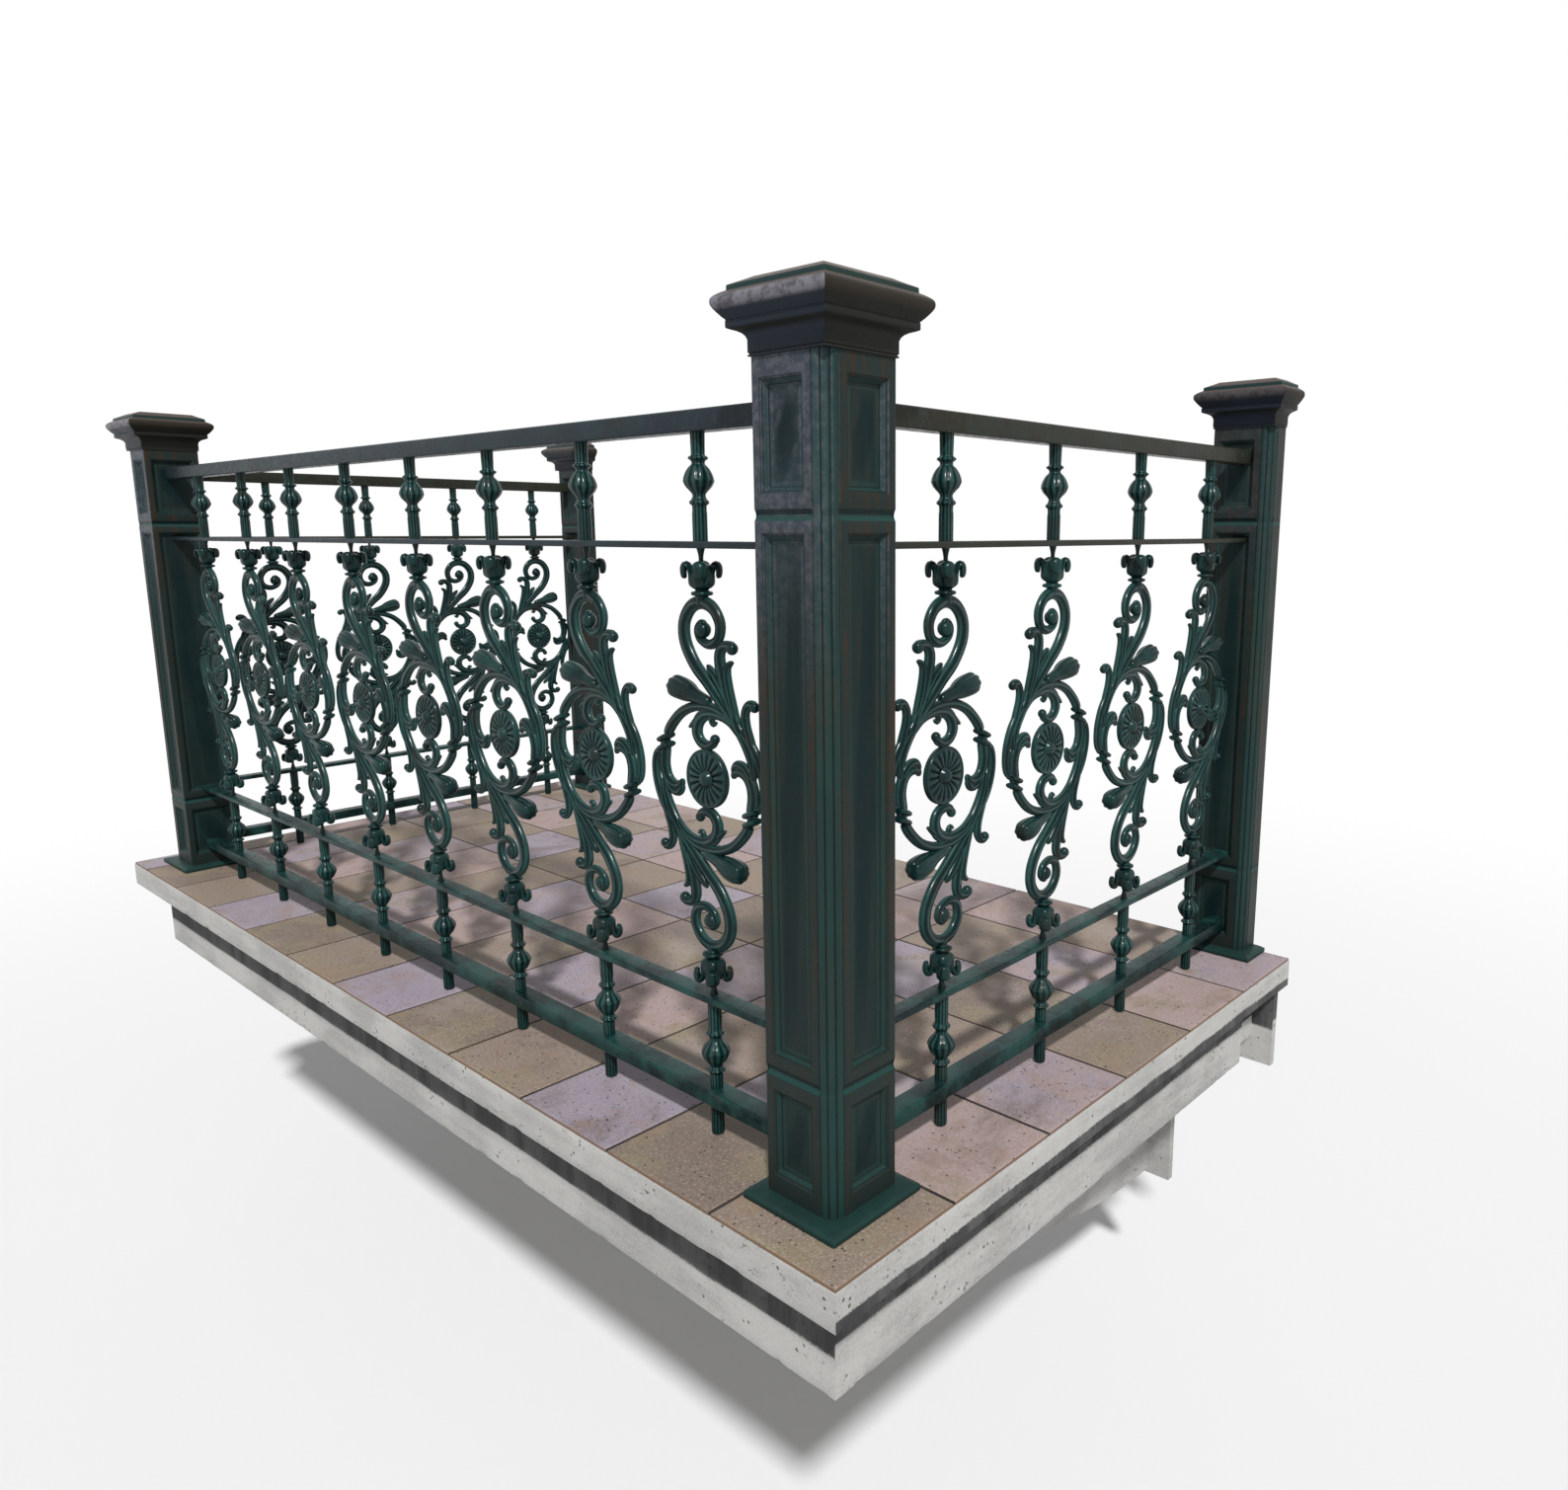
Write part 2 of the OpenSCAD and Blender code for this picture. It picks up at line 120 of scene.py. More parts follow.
# Camera that matches the photo: film and lens in millimetres, place in metres, angles in radians
SENSOR_WIDTH = 36.0
FOCAL_LENGTH = 25.445
LENS_SHIFT = (-0.0668, -0.0052)
CAMERA_PLACE = (2.3179, -2.4124, 0.9948)
CAMERA_TILT = math.radians(90 - 10.484)
CAMERA_TURN = math.radians(41.066)


# Sizes and colours that a user may change


def colour(name, description, default):
    """A colour that the panel shows."""
    return FloatVectorProperty(
        name=name, description=description, default=default, subtype="COLOR", size=3, min=0.0, max=1.0
    )


def length(name, description, default, low, high):
    """A distance in metres that the panel shows."""
    return FloatProperty(
        name=name,
        description=description,
        default=default,
        subtype="DISTANCE",
        unit="LENGTH",
        min=low,
        max=high,
    )


class BalconyIron(bpy.types.PropertyGroup):
    """Looks of the painted castings and bars."""

    paint: colour("Paint", "Colour of the sound gloss paint", (0.002, 0.012, 0.013))
    # Worn green, also laid as a painted highlight on the castings' crests, the reeds' crests and the grooves'
    # chamfers
    verdigris: colour("Worn green", "Lighter green along mouldings and edges", (0.011, 0.052, 0.047))
    rust: colour("Rust", "Brown bloom on frames and bosses", (0.030, 0.022, 0.015))
    gloss: FloatProperty(
        name="Roughness",
        description="Roughness of the paint on the castings",
        default=0.25,
        subtype="FACTOR",
        min=0.05,
        max=0.9,
    )


class BalconyStone(bpy.types.PropertyGroup):
    """Sizes and looks of the concrete and the floor tiles."""

    concrete: colour("Concrete", "Mean colour of the concrete", (0.46, 0.455, 0.44))
    overhang: length("Overhang", "Distance from the rim back to the bands under it", 0.063, 0.033, 0.07)
    band: length("Band", "Depth of the bands under the slab", 0.175, 0.1, 0.2)
    tile_warm: colour("Warm tile", "Colour of the tan tiles; brown ones are darker", (0.27, 0.21, 0.165))
    tile_cool: colour("Cool tile", "Colour of the most mauve tiles", (0.335, 0.29, 0.35))
    tile_size: length("Tile pitch", "Distance from joint to joint", 0.25, 0.2, 0.3)
    joint: length("Joint", "Width of the joints between tiles", 0.0055, 0.001, 0.01)


class BalconyStage(bpy.types.PropertyGroup):
    """The floor under the object and its light."""

    ground: length("Ground", "Height of the pale floor", -1.0, -3.0, -0.65)
    key: FloatProperty(
        name="Key light",
        description="Strength of the far soft light at the front right",
        default=3.1,
        min=0.0,
    )
    softness: FloatProperty(
        name="Softness",
        description="Angle across the key light, which softens its shadows",
        default=math.radians(4.0),
        subtype="ANGLE",
        unit="ROTATION",
        min=0.0,
    )
    world: FloatProperty(
        name="Sky",
        description="Strength of the even light from all sides",
        default=0.32,
        min=0.0,
    )


# Surfaces


def spline(points, count):
    """Points evenly spread in parameter on the curve through the given ones. Between two of them it is the
    cubic whose slope at each is half the step from the point before it to the one after."""
    p = np.asarray(points, float)
    p = np.vstack([2 * p[0] - p[1], p, 2 * p[-1] - p[-2]])
    t = np.linspace(0, len(p) - 3, count)
    i = np.minimum(t.astype(int), len(p) - 4)
    u = (t - i)[:, None]
    a, b, c, d = p[i], p[i + 1], p[i + 2], p[i + 3]
    return 0.5 * (
        2 * b + (c - a) * u + (2 * a - 5 * b + 4 * c - d) * u**2 + (3 * b - a - 3 * c + d) * u**3
    )


def ease(x):
    """0 below 0, 1 above 1, and 3x² - 2x³ between."""
    x = np.clip(x, 0, 1)
    return x * x * (3 - 2 * x)


def lattice(p, cell, seed):
    """Smooth value noise in 0..1: a hash of each lattice corner, blended over the cell by eased fractions."""
    q = p / cell
    base = np.floor(q).astype(np.int64)
    f = ease(q - base)
    total = np.zeros(len(q))
    for corner in np.ndindex(2, 2, 2):
        c = base + corner
        n = (c[:, 0] * 73856093 ^ c[:, 1] * 19349663 ^ c[:, 2] * 83492791 ^ seed * 2654435761) & 0xFFFFFF
        n = (n * 48271 + 11) % 16777213 / 16777213
        w = np.prod(np.where(np.array(corner) == 1, f, 1 - f), axis=1)
        total += n * w
    return total


class Shell:
    """Gathers gridded surfaces, in millimetres, and makes one mesh of them."""

    def __init__(self):
        self.points = []
        self.quads = []
        self.tones = []
        self.count = 0

    def grid(self, p, tone=0.0):
        """Adds a surface of rows by columns points. Every cell between neighbours is one face, and each row
        runs on from its last point to its first."""
        rows, columns = p.shape[:2]
        index = np.arange(rows * columns).reshape(rows, columns) + self.count
        index = np.hstack([index, index[:, :1]])
        quads = np.stack([index[:-1, :-1], index[:-1, 1:], index[1:, 1:], index[1:, :-1]], axis=-1)
        self.points.append(p.reshape(-1, 3))
        self.quads.append(quads.reshape(-1, 4))
        self.tones.append(np.broadcast_to(np.asarray(tone, float), (rows, columns)).reshape(-1))
        self.count += rows * columns

    def mesh(self, name, crease):
        """One mesh in metres, sharp where faces meet at more than crease degrees. Doubled points at poles and
        seams become one, and faces point outwards."""
        mesh = bpy.data.meshes.new(name)
        mesh.from_pydata(np.vstack(self.points) * MM, [], np.vstack(self.quads))
        tone = mesh.attributes.new("tone", "FLOAT", "POINT")
        tone.data.foreach_set("value", np.concatenate(self.tones).astype(np.float32))
        work = bmesh.new()
        work.from_mesh(mesh)
        bmesh.ops.remove_doubles(work, verts=work.verts, dist=WELD)
        bmesh.ops.recalc_face_normals(work, faces=work.faces)
        work.to_mesh(mesh)
        work.free()
        mesh.polygons.foreach_set("use_smooth", np.ones(len(mesh.polygons), dtype=bool))
        mesh.set_sharp_from_angle(angle=math.radians(crease))
        mesh.update()
        return mesh


def place(mesh, name, material, nodes):
    """Links a mesh as a piece that rides on the body and stands for the CAD nodes."""
    piece = bpy.data.objects.new(name, mesh)
    bpy.context.scene.collection.objects.link(piece)
    mesh.materials.clear()
    mesh.materials.append(material)
    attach(piece, "root")
    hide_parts(*nodes)
    return piece


def moved(mesh, name, matrix):
    """A copy of a mesh with the matrix applied to its points; a mirrored copy has its faces turned back."""
    copy = mesh.copy()
    copy.name = name
    copy.transform(matrix)
    if matrix.determinant() < 0:
        copy.flip_normals()
    return copy


# Forms of the castings, in millimetres

LIMB_COLUMNS = 16
STEM_COLUMNS = 48
STEM_LOBES = 12


def turn_angles(columns):
    """Angles of that many columns evenly round a turn, from 0."""
    return np.arange(columns) * 2 * np.pi / columns


def turned(profile, lobes=0, depth=None, columns=48):
    """Points of a surface of revolution about Z: (r cos a, r sin a, z).
    Lobes swell r by depth * (|cos(lobes a / 2)| - 0.6), with depth given for each profile point."""
    profile = np.asarray(profile, float)
    a = turn_angles(columns)
    r = profile[:, :1] * np.ones_like(a)
    if lobes:
        r = r + np.asarray(depth, float)[:, None] * (np.abs(np.cos(lobes * a / 2)) - 0.6)
    r = np.maximum(r, 0)
    z = profile[:, 1:] * np.ones_like(a)
    return np.stack([r * np.cos(a), r * np.sin(a), z], axis=-1)


def channel(across):
    """1 half way between a limb's middle rib and its edges, falling to 0 beside."""
    return np.exp(-(((np.abs(across) - 0.5) / 0.22) ** 2))


# The castings' paint turns this tone into a painted highlight on ribs and edges and painted shade in the
# channels
def rib_tone(columns):
    """Tone round a limb: 1 on its middle rib and its edges, 0 in the channels between them."""
    return 1 - channel(np.cos(turn_angles(columns)))


# The castings' paint turns this tone into a painted highlight on crests and painted shade in valleys
def lobe_tone(columns, lobes):
    """Tone round a lobed turning: 1 on each crest and 0 in each valley, by |cos(lobes a / 2)|."""
    return np.abs(np.cos(lobes * turn_angles(columns) / 2))


def spread(values, s):
    """Values given at even steps from 0 to 1, read at the places s, as a column."""
    return np.interp(s, np.linspace(0, 1, len(values)), values)[:, None]


def beside(path, s, offset, y):
    """Points that lie offset from a path in the plane Y = 0 along its normal, and y out of the plane; s holds
    the rows' places from 0 to 1."""
    c = spline(path, len(s))
    tangent = np.gradient(c, axis=0)
    tangent /= np.linalg.norm(tangent, axis=1)[:, None]
    x = c[:, :1] - tangent[:, 1:] * offset
    z = c[:, 1:] + tangent[:, :1] * offset
    return np.stack([x, y, z], axis=-1)


def limb(path, width, thickness, ridge=0.0, rows=24):
    """Points of a bar that follows a path in the plane Y = 0, closed by points at both ends.
    Across it the section is an ellipse, w cos a along the path's normal and t sin a along Y;
    ridge pulls the two faces in by that share beside their middle, which leaves a rib."""
    s = np.linspace(0, 1, rows)
    end = np.sqrt(np.clip(1 - np.abs(2 * s - 1) ** 18, 0, 1))[:, None]
    a = turn_angles(LIMB_COLUMNS)
    across = np.cos(a)
    through = np.sin(a) * (1 - ridge * channel(across))
    return beside(path, s, spread(width, s) * end * across, spread(thickness, s) * end * through)


def bent_leaf(path, width, rise, rows, columns, thick):
    """Points of a thin curled leaf about a path in the plane of Y = 0: a sheet whose cross line is a shallow
    arch, rise * (1 - v²), closed on itself with a front and a back layer that are thick apart and meet in a
    rounded tip."""
    s = np.linspace(0, 1, rows)
    a = turn_angles(2 * columns)
    v = np.cos(a)
    tip = np.sqrt(np.clip(1 - s**12, 0, 1))[:, None]
    layer = (np.sin(a) * thick / 2 + rise * (1 - v**2)) * tip
    return beside(path, s, layer, spread(width, s) * v * tip)


def closed(p):
    """The same rows with one more at either end, drawn together at the end row's middle."""
    ends = [np.repeat(row.mean(axis=1, keepdims=True), p.shape[1], axis=1) for row in (p[:1], p[-1:])]
    return np.concatenate([ends[0], p, ends[1]])


def about_z(p, degrees):
    """Points turned about the Z axis."""
    a = math.radians(degrees)
    turn = np.array([[math.cos(a), -math.sin(a), 0], [math.sin(a), math.cos(a), 0], [0, 0, 1]])
    return p @ turn.T


def half_turn(p):
    """Points turned by 180 degrees about the line parallel to Y through the rosette's middle."""
    return p * np.array([-1, 1, -1]) + np.array([0, 0, 2 * ROSETTE_Z])


# Balusters


def scroll_forms():
    """The limbs of the ornament's upper half: path in the railing's plane, half widths, half thicknesses,
    depth of the rib and number of rows."""
    return [
        # Main scroll from the ring's right side up, over and round its eye
        ([(106, 590), (103, 622), (88, 655), (64, 684), (34, 712), (6, 738), (-22, 763), (-42, 795),
          (-43, 825), (-26, 848), (-1, 856), (24, 848), (39, 826), (34, 803), (14, 794), (-6, 801),
          (-12, 815), (-3, 826), (8, 823)],
         [6, 8, 9.5, 10, 10, 10.5, 11.5, 12, 11.5, 10.8, 10.5, 10, 9.5, 8.6, 7.6, 6.8, 6, 5.4, 5],
         [6, 7, 8, 8.5, 8.5, 8.5, 8.5, 8.5, 8.5, 8.5, 8.5, 8.2, 8, 7.5, 7, 7, 7, 7, 7], 0.22, 76),
        # Tall leaf: stem, curl with its ball, and two lobes
        ([(88, 652), (70, 682), (52, 716), (40, 752), (36, 778), (44, 792), (60, 795), (68, 792)],
         [6, 9, 11, 12, 10.5, 8.5, 7.5, 7.5], [6, 8, 8, 7.5, 7.5, 7.5, 8, 7], 0.3, 32),
        ([(66, 686), (48, 718), (30, 742), (14, 757), (7, 764)],
         [6, 9, 9, 6, 2], [6, 7, 7, 6, 3], 0.3, 18),
        ([(74, 676), (62, 708), (53, 740), (52, 760), (60, 769), (66, 770)],
         [6, 8, 8, 7, 4.5, 2.5], [6, 7, 7, 6.5, 5, 3], 0.3, 18),
        # Short leaf beside the ring, curled outwards
        ([(108, 600), (110, 628), (100, 655), (91, 680), (90, 699), (98, 711), (108, 712), (112, 707)],
         [5, 7, 8.5, 8, 7.5, 7, 7, 6], [5, 6.5, 7, 7, 7, 7, 7, 6], 0.25, 28),
        # Ring over the top left, and the curled leaf at its end
        ([(84, 655), (60, 683), (30, 697), (0, 700), (-30, 696), (-58, 684), (-82, 663), (-97, 642)],
         [5, 7, 7.5, 7.5, 8, 8.5, 9, 9.5], [6, 7, 7, 7, 7, 7.5, 8, 8], 0.15, 28),
        ([(-96, 644), (-101, 622), (-104, 600), (-99, 581), (-88, 570), (-74, 567), (-63, 572), (-60, 580)],
         [9, 12, 12, 11, 9.5, 8, 6.5, 4], [7, 8, 8, 8, 8, 7.5, 6.5, 4], 0.35, 30),
        # Sheath that rises outside the ring and hooks over
        ([(-66, 494), (-92, 516), (-112, 540), (-124, 568), (-127, 594), (-122, 612), (-112, 618),
          (-106, 612)],
         [6, 9, 9, 8, 7.5, 7, 6, 4], [6, 7, 7, 7, 6.5, 6.5, 6, 4], 0.3, 28),
        # Curl inside the ring, with its lobes
        ([(82, 656), (58, 680), (30, 690), (2, 688), (-16, 676), (-21, 658), (-12, 644), (4, 640),
          (17, 645), (22, 653)],
         [5, 7, 8.5, 10, 11, 11, 9.5, 8, 7, 5.5], [6, 6.5, 7, 7.5, 7.5, 7.5, 7.5, 7, 6.5, 5.5], 0.25, 38),
        ([(-6, 686), (-22, 676), (-34, 667), (-41, 663)], [6, 6, 4, 1.5], [5, 5.5, 4.5, 2], 0.1, 10),
        ([(20, 690), (14, 680), (18, 674), (27, 679)], [6, 6, 4.5, 2], [5, 5, 4.5, 2.5], 0.1, 10),
        # Lobe that points inwards from the ring's right side
        ([(103, 590), (96, 606), (84, 617), (70, 619), (62, 611), (64, 604)],
         [5, 8, 8, 7, 5.5, 4], [5, 6.5, 7, 6.5, 5.5, 4], 0.2, 18),
    ]


def bud(base, tip, radius):
    """Ribbed bud about the line from base to tip in the railing's plane: r = radius * profile(s) with eight
    lobes that fade to the tip."""
    base, tip = np.array(base, float), np.array(tip, float)
    reach = np.linalg.norm(tip - base)
    s = np.array([0, 0.06, 0.16, 0.3, 0.42, 0.5, 0.58, 0.66, 0.74, 0.82, 0.89, 0.94, 0.975, 1.0])
    r = np.array([0.0, 0.42, 0.5, 0.56, 0.65, 0.77, 0.88, 0.96, 1.0, 1.0, 0.94, 0.82, 0.58, 0.0]) * radius
    depth = 3.0 * ease((s - 0.35) / 0.2) * ease((1.02 - s) / 0.12)
    p = turned(np.stack([r, s * reach], axis=1), lobes=8, depth=depth, columns=32)
    axis = (tip - base) / reach
    side = np.array([axis[1], -axis[0]])
    x, y, z = np.moveaxis(p, -1, 0)
    return np.stack([base[0] + side[0] * x + axis[0] * z, y, base[1] + side[1] * x + axis[1] * z], axis=-1)


def ball(x, z, radius, columns=14, rows=9, stretch=0.95):
    """Sphere: (r sin b cos a, stretch r sin b sin a, r cos b) about (x, 0, z)."""
    b = np.linspace(0, np.pi, rows)
    p = turned(np.stack([radius * np.sin(b), radius * np.cos(b)], axis=1), columns=columns)
    return p * [1, stretch, 1] + [x, 0, z]


def rosette_form():
    """Rosette about the Y axis: its points and their tone. The profile of radius and height runs from the
    front boss over the rim to the back boss; between boss and rim the height is swelled by
    3.2 * (|sin(9 a)| ** 0.7 - 0.55), which makes eighteen petals."""
    front = np.array([
        [0, 13], [4, 12.6], [8, 11], [11, 8], [12.4, 4.6], [14, 3.2], [18, 4.2], [24, 4.8], [30, 4.9],
        [36, 4.4], [40, 3.4], [42, 3.2], [43.2, 4.6], [44.6, 5.2], [45.8, 4.2], [46.2, 2.0], [46.4, 0],
    ])
    back = front[-2::-1] * [1, -1]
    profile = np.vstack([front, back])
    a = turn_angles(108)
    r, h = profile[:, :1], profile[:, 1:]
    petal = ease((r - 13) / 5) * ease((41.5 - r) / 5)
    crest = np.abs(np.sin(9 * a)) ** 0.7
    y = h + np.sign(h) * petal * (crest - 0.55) * 3.2
    x = r * np.cos(a)
    z = ROSETTE_Z + r * np.sin(a)
    # Tone higher on the petals' crests, for a painted highlight in the castings' paint
    tone = 0.7 + petal * (crest - 0.9)
    return np.stack([x, -y, z], axis=-1), tone


def cup_forms():
    """Ring and flower cup above the upper scroll: a turned core with four lobes and four lips bent down."""
    core = spline([(9, 852), (9, 862), (10, 865), (15.4, 866.5), (16.6, 869), (15.4, 871.5), (10.4, 873),
                   (10.6, 875), (14.4, 877.4), (17.6, 881), (18.8, 886), (18.8, 893), (18.2, 900), (17, 907),
                   (12, 911), (6, 913), (3.6, 917), (4, 925), (6.6, 936), (8.4, 944), (8.4, 952)], 44)
    depth = 2.6 * ease((core[:, 1] - 876) / 6) * ease((912 - core[:, 1]) / 4)
    forms = [closed(about_z(turned(core, lobes=4, depth=depth, columns=32), 45))]
    path = [(12, 880), (14.6, 888), (15.8, 897), (17.2, 904), (19.6, 909), (22.6, 910.4), (24.6, 907),
            (25, 901), (24.4, 895), (23.4, 890.5)]
    width = [6, 9, 10.6, 11.2, 11.2, 11, 10.6, 10, 9, 6.5]
    petal = bent_leaf(path, width, rise=1.4, rows=20, columns=7, thick=10.4)
    for i in range(4):
        forms.append(closed(about_z(petal, 45 + 90 * i)))
    return forms


def knop_profile(top, up):
    """Profile of the stem's two rings and the knop between them, from its plain end at height top inwards,
    downwards where up is 1 and upwards where it is -1."""
    steps = [(10.2, 0), (10.2, 3.4), (11.6, 5.2), (14.2, 6.6), (14.7, 8.2), (13.8, 10), (10.8, 11.9),
             (9.6, 14.8), (10.6, 17.7), (12.8, 19.6), (15.6, 23.5), (19, 29.2), (21.2, 35), (22.5, 39),
             (22.9, 40.6), (22.5, 42.4), (21.3, 44.6), (19.3, 48.5), (15.8, 52.4), (12.3, 56.2), (9.8, 59.7),
             (9.9, 63), (11.6, 66.8), (14.2, 69.3), (14.7, 71.4), (13.8, 73.5), (10.9, 75.5), (10.6, 80),
             (10.6, 84)]
    return [(r, top - up * z) for r, z in steps]


def stem_form(top, up, start, end):
    """Stem from start to end with its rings and knop: twelve lobes on the knop, and as many flutes from the
    inner ring on. Where up is -1, its start is a rounded tip."""
    inner = spline(knop_profile(top, up), 46)
    tip = [[6.6, start], [9.2, start + 1.2], [10.2, start + 4]] if up < 0 else [[10.2, start]]
    profile = np.vstack([tip, inner, [[10.6, inner[-1, 1] - up * 3], [10.6, end]]])
    z = np.abs(profile[:, 1] - top)
    lobes = 1.8 * ease((z - 18) / 6) * ease((40 - z) / 3) + 0.8 * ease((z - 43) / 3) * ease((58 - z) / 6)
    flutes = 1.4 * ease((z - 84) / 3)
    return closed(turned(profile, lobes=STEM_LOBES, depth=lobes + flutes, columns=STEM_COLUMNS))


def baluster_mesh():
    """One casting, about X = 0 and Y = 0, heights counted from the floor."""
    shell = Shell()
    for path, width, thickness, ridge, rows in scroll_forms():
        p = limb(path, width, thickness, ridge, rows=rows)
        for q in (p, half_turn(p)):
            shell.grid(q, tone=rib_tone(LIMB_COLUMNS))
    solids = [
        bud((14, 706), (-80, 728), 17.5),
        ball(0, 815, 12.5),
        ball(64, 791, 9.5),
        ball(110, 709, 8),
        ball(20, 651, 8),
    ]
    for z in (627, 641):
        collar = [(-114, z - 6), (-99, z), (-84, z + 6)]
        solids.append(limb(collar, [4.8, 5.6, 4.8], [9, 12, 9], rows=12))
    solids += cup_forms()
    for p in solids:
        for q in (p, half_turn(p)):
            shell.grid(q, tone=SOLID_TONE)
    shell.grid(*rosette_form())
    rail = FLOOR_TO_HANDRAIL
    for p in (stem_form(1072, 1, rail, 938), stem_form(103, -1, 0.0, 236)):
        shell.grid(p, tone=lobe_tone(STEM_COLUMNS, STEM_LOBES))
    return shell.mesh("baluster", crease=50)


# Posts, caps and feet, in millimetres over the floor

POST_HALF = 66.0
BAR_REACH = POST_HALF - 10.0
SHAFT_TOP = 1178.0
FOOT_TOP = 12.0

# Reeds on a corner: its size, their number, points across one, radius of their valleys and rise of crests
REED_CORNER = 25.0
REEDS = 3
REED_STEPS = [-1, -0.93, -0.8, -0.6, -0.35, 0, 0.35, 0.6, 0.8, 0.93]
REED_RING = 22.4
REED_RISE = 2.6

# Panels: the frame beside them, their heights, and how deep they are by the distance inside their edge
PANEL_FRAME = 14.0
PANELS = [(40, 175), (225, 957), (1006, 1152)]
PANEL_STEPS = np.array([-1.0, 0, 0.7, 2.0, 3.2, 4.6, 6.2, 8.0, 9.2, 10.4, 13.0, 17.0])
PANEL_DEPTHS = np.array([0, 0, 1.8, 2.5, 2.3, 3.8, 6.2, 8.6, 9.4, 9.6, 9.6, 9.6])

# Distance that stands for a point on no panel
OUTSIDE = -9.0

# Grooves round the shaft: their heights, how deep they are beside that, and the share of it on the reeds
GROOVES = [203, 980]
GROOVE_STEPS = np.array([-8.0, -7.4, -3.4, -2.4, 0.8, 2.0, 7.2, 8.0])
GROOVE_DEPTHS = np.array([0.0, 0.3, 2.6, 3.0, 3.0, 2.7, 0.4, 0.0])
REED_SHARE = 0.35


def face_columns(low, high):
    """Offsets along one face from low to high, close together at the panel's bevels, and how far each
    lies inside the panel's edge."""
    left, right = low + PANEL_FRAME, high - PANEL_FRAME
    inner = np.concatenate([left + PANEL_STEPS, [(left + right) / 2], right - PANEL_STEPS[::-1]])
    s = np.concatenate([[low + 1.2, low + 4], inner, [high - 4, high - 1.2]])
    return s, np.minimum(s - left, right - s)


def shaft_outline(half_post):
    """Columns round a shaft, counter-clockwise seen from above: point, inward direction, distance inside the
    panel, share of the grooves' depth, and tone. A half post, cut at the wall, has plain side faces."""
    flat = POST_HALF - REED_CORNER
    columns = []

    def straight(normal, along, low, high):
        """A flat face with that normal, from low to high along it."""
        normal, along = np.array(normal, float), np.array(along)
        for value, inside in zip(*face_columns(low, high)):
            point = normal * POST_HALF + along * value
            if half_post and normal[0] != 0:
                columns.append((point, -normal, OUTSIDE, 0.0, 0.0))
            else:
                columns.append((point, -normal, inside, 1.0, 0.0))

    def reeds():
        """Reeds round the corner, each swelling from the ring by rise * sqrt(1 - (0.97 u)²)."""
        for i in range(REEDS):
            for u in REED_STEPS:
                angle = math.radians(-90 + 90 * (i + 0.5 + u / 2) / REEDS)
                radius = REED_RING + REED_RISE * math.sqrt(1 - (0.97 * u) ** 2)
                direction = np.array([math.cos(angle), math.sin(angle)])
                point = np.array([flat, -flat]) + radius * direction
                # Tone highest on each reed's crest, which the post paint turns into a painted highlight
                tone = 0.2 + 0.4 * math.sqrt(1 - u * u)
                columns.append((point, -direction, OUTSIDE, REED_SHARE, tone))

    straight((0, -1), (1, 0), -POST_HALF, flat)
    reeds()
    straight((1, 0), (0, 1), -flat, POST_HALF)
    straight((0, 1), (-1, 0), -POST_HALF, POST_HALF)
    straight((-1, 0), (0, -1), -POST_HALF, POST_HALF)
    if half_post:
        columns = [c for c in columns if c[0][1] <= -2.0]
        start = next(i for i, c in enumerate(columns) if c[1][0] > 0.99 and c[1][1] == 0)
        columns = columns[start:] + columns[:start]
        first, last = columns[0], columns[-1]
        columns = [(np.array([first[0][0], 0.0]),) + first[1:]] + columns
        columns = columns + [(np.array([last[0][0], 0.0]),) + last[1:]]
    return columns


def shaft_form(half_post=False):
    """Post shaft: its points and their tone. Each point is pushed in from the outline by the panel's moulding
    at the smaller of its distances to the panel's upright and level edges, or by the grooves that run round
    it. The tone is high in bevels, high on the reeds' crests for a painted highlight, high on the grooves'
    lower chamfers for painted light and low on their upper slopes for painted shade, and middling on the
    panels."""
    columns = shaft_outline(half_post)
    base = np.array([c[0] for c in columns])
    inward = np.array([c[1] for c in columns])
    inside = np.array([c[2] for c in columns])
    share = np.array([c[3] for c in columns])
    reed = np.array([c[4] for c in columns])
    z = [FOOT_TOP, FOOT_TOP + 1.5, SHAFT_TOP - 0.5, SHAFT_TOP]
    for low, high in PANELS:
        z += list(low + PANEL_STEPS) + [(low + high) / 2] + list(high - PANEL_STEPS)
    for middle in GROOVES:
        z += list(middle + GROOVE_STEPS)
    z = np.unique(np.round([v for v in z if v <= SHAFT_TOP], 3))
    depth = np.zeros((len(z), len(base)))
    edge = np.full((len(z), len(base)), OUTSIDE)
    for low, high in PANELS:
        d = np.minimum(inside[None, :], np.minimum(z - low, high - z)[:, None])
        depth = np.maximum(depth, np.interp(d, PANEL_STEPS, PANEL_DEPTHS))
        edge = np.maximum(edge, d)
    cut = np.zeros(len(z))
    for middle in GROOVES:
        cut = np.maximum(cut, np.interp(z - middle, GROOVE_STEPS, GROOVE_DEPTHS))
    depth = np.maximum(depth, cut[:, None] * share[None, :])
    tone = 0.62 * np.exp(-(((edge - 6) / 3.4) ** 2)) * (edge > 0) + reed[None, :]
    tone = np.maximum(tone, (0.3 + 0.22 * np.exp(-(((edge - 12) / 6) ** 2))) * (edge > 10))
    # Painted light in the grooves: the lower chamfer, which faces up, gets a high tone, and the upper slope
    # gets the panels' low tone as painted shade
    lower = np.min(np.abs(z[:, None] - (np.array(GROOVES) - 5)[None, :]), axis=1) < 3.5
    tone = np.where((cut[:, None] > 0) & (reed[None, :] == 0), np.where(lower[:, None], 0.85, 0.3), tone)
    x = base[:, 0][None, :] + inward[:, 0][None, :] * depth
    y = base[:, 1][None, :] + inward[:, 1][None, :] * depth
    p = np.stack([x, y, z[:, None] * np.ones_like(x)], axis=-1)
    tone = np.concatenate([tone[:1], tone, tone[-1:]])
    return closed(p), np.clip(tone, 0, 1)


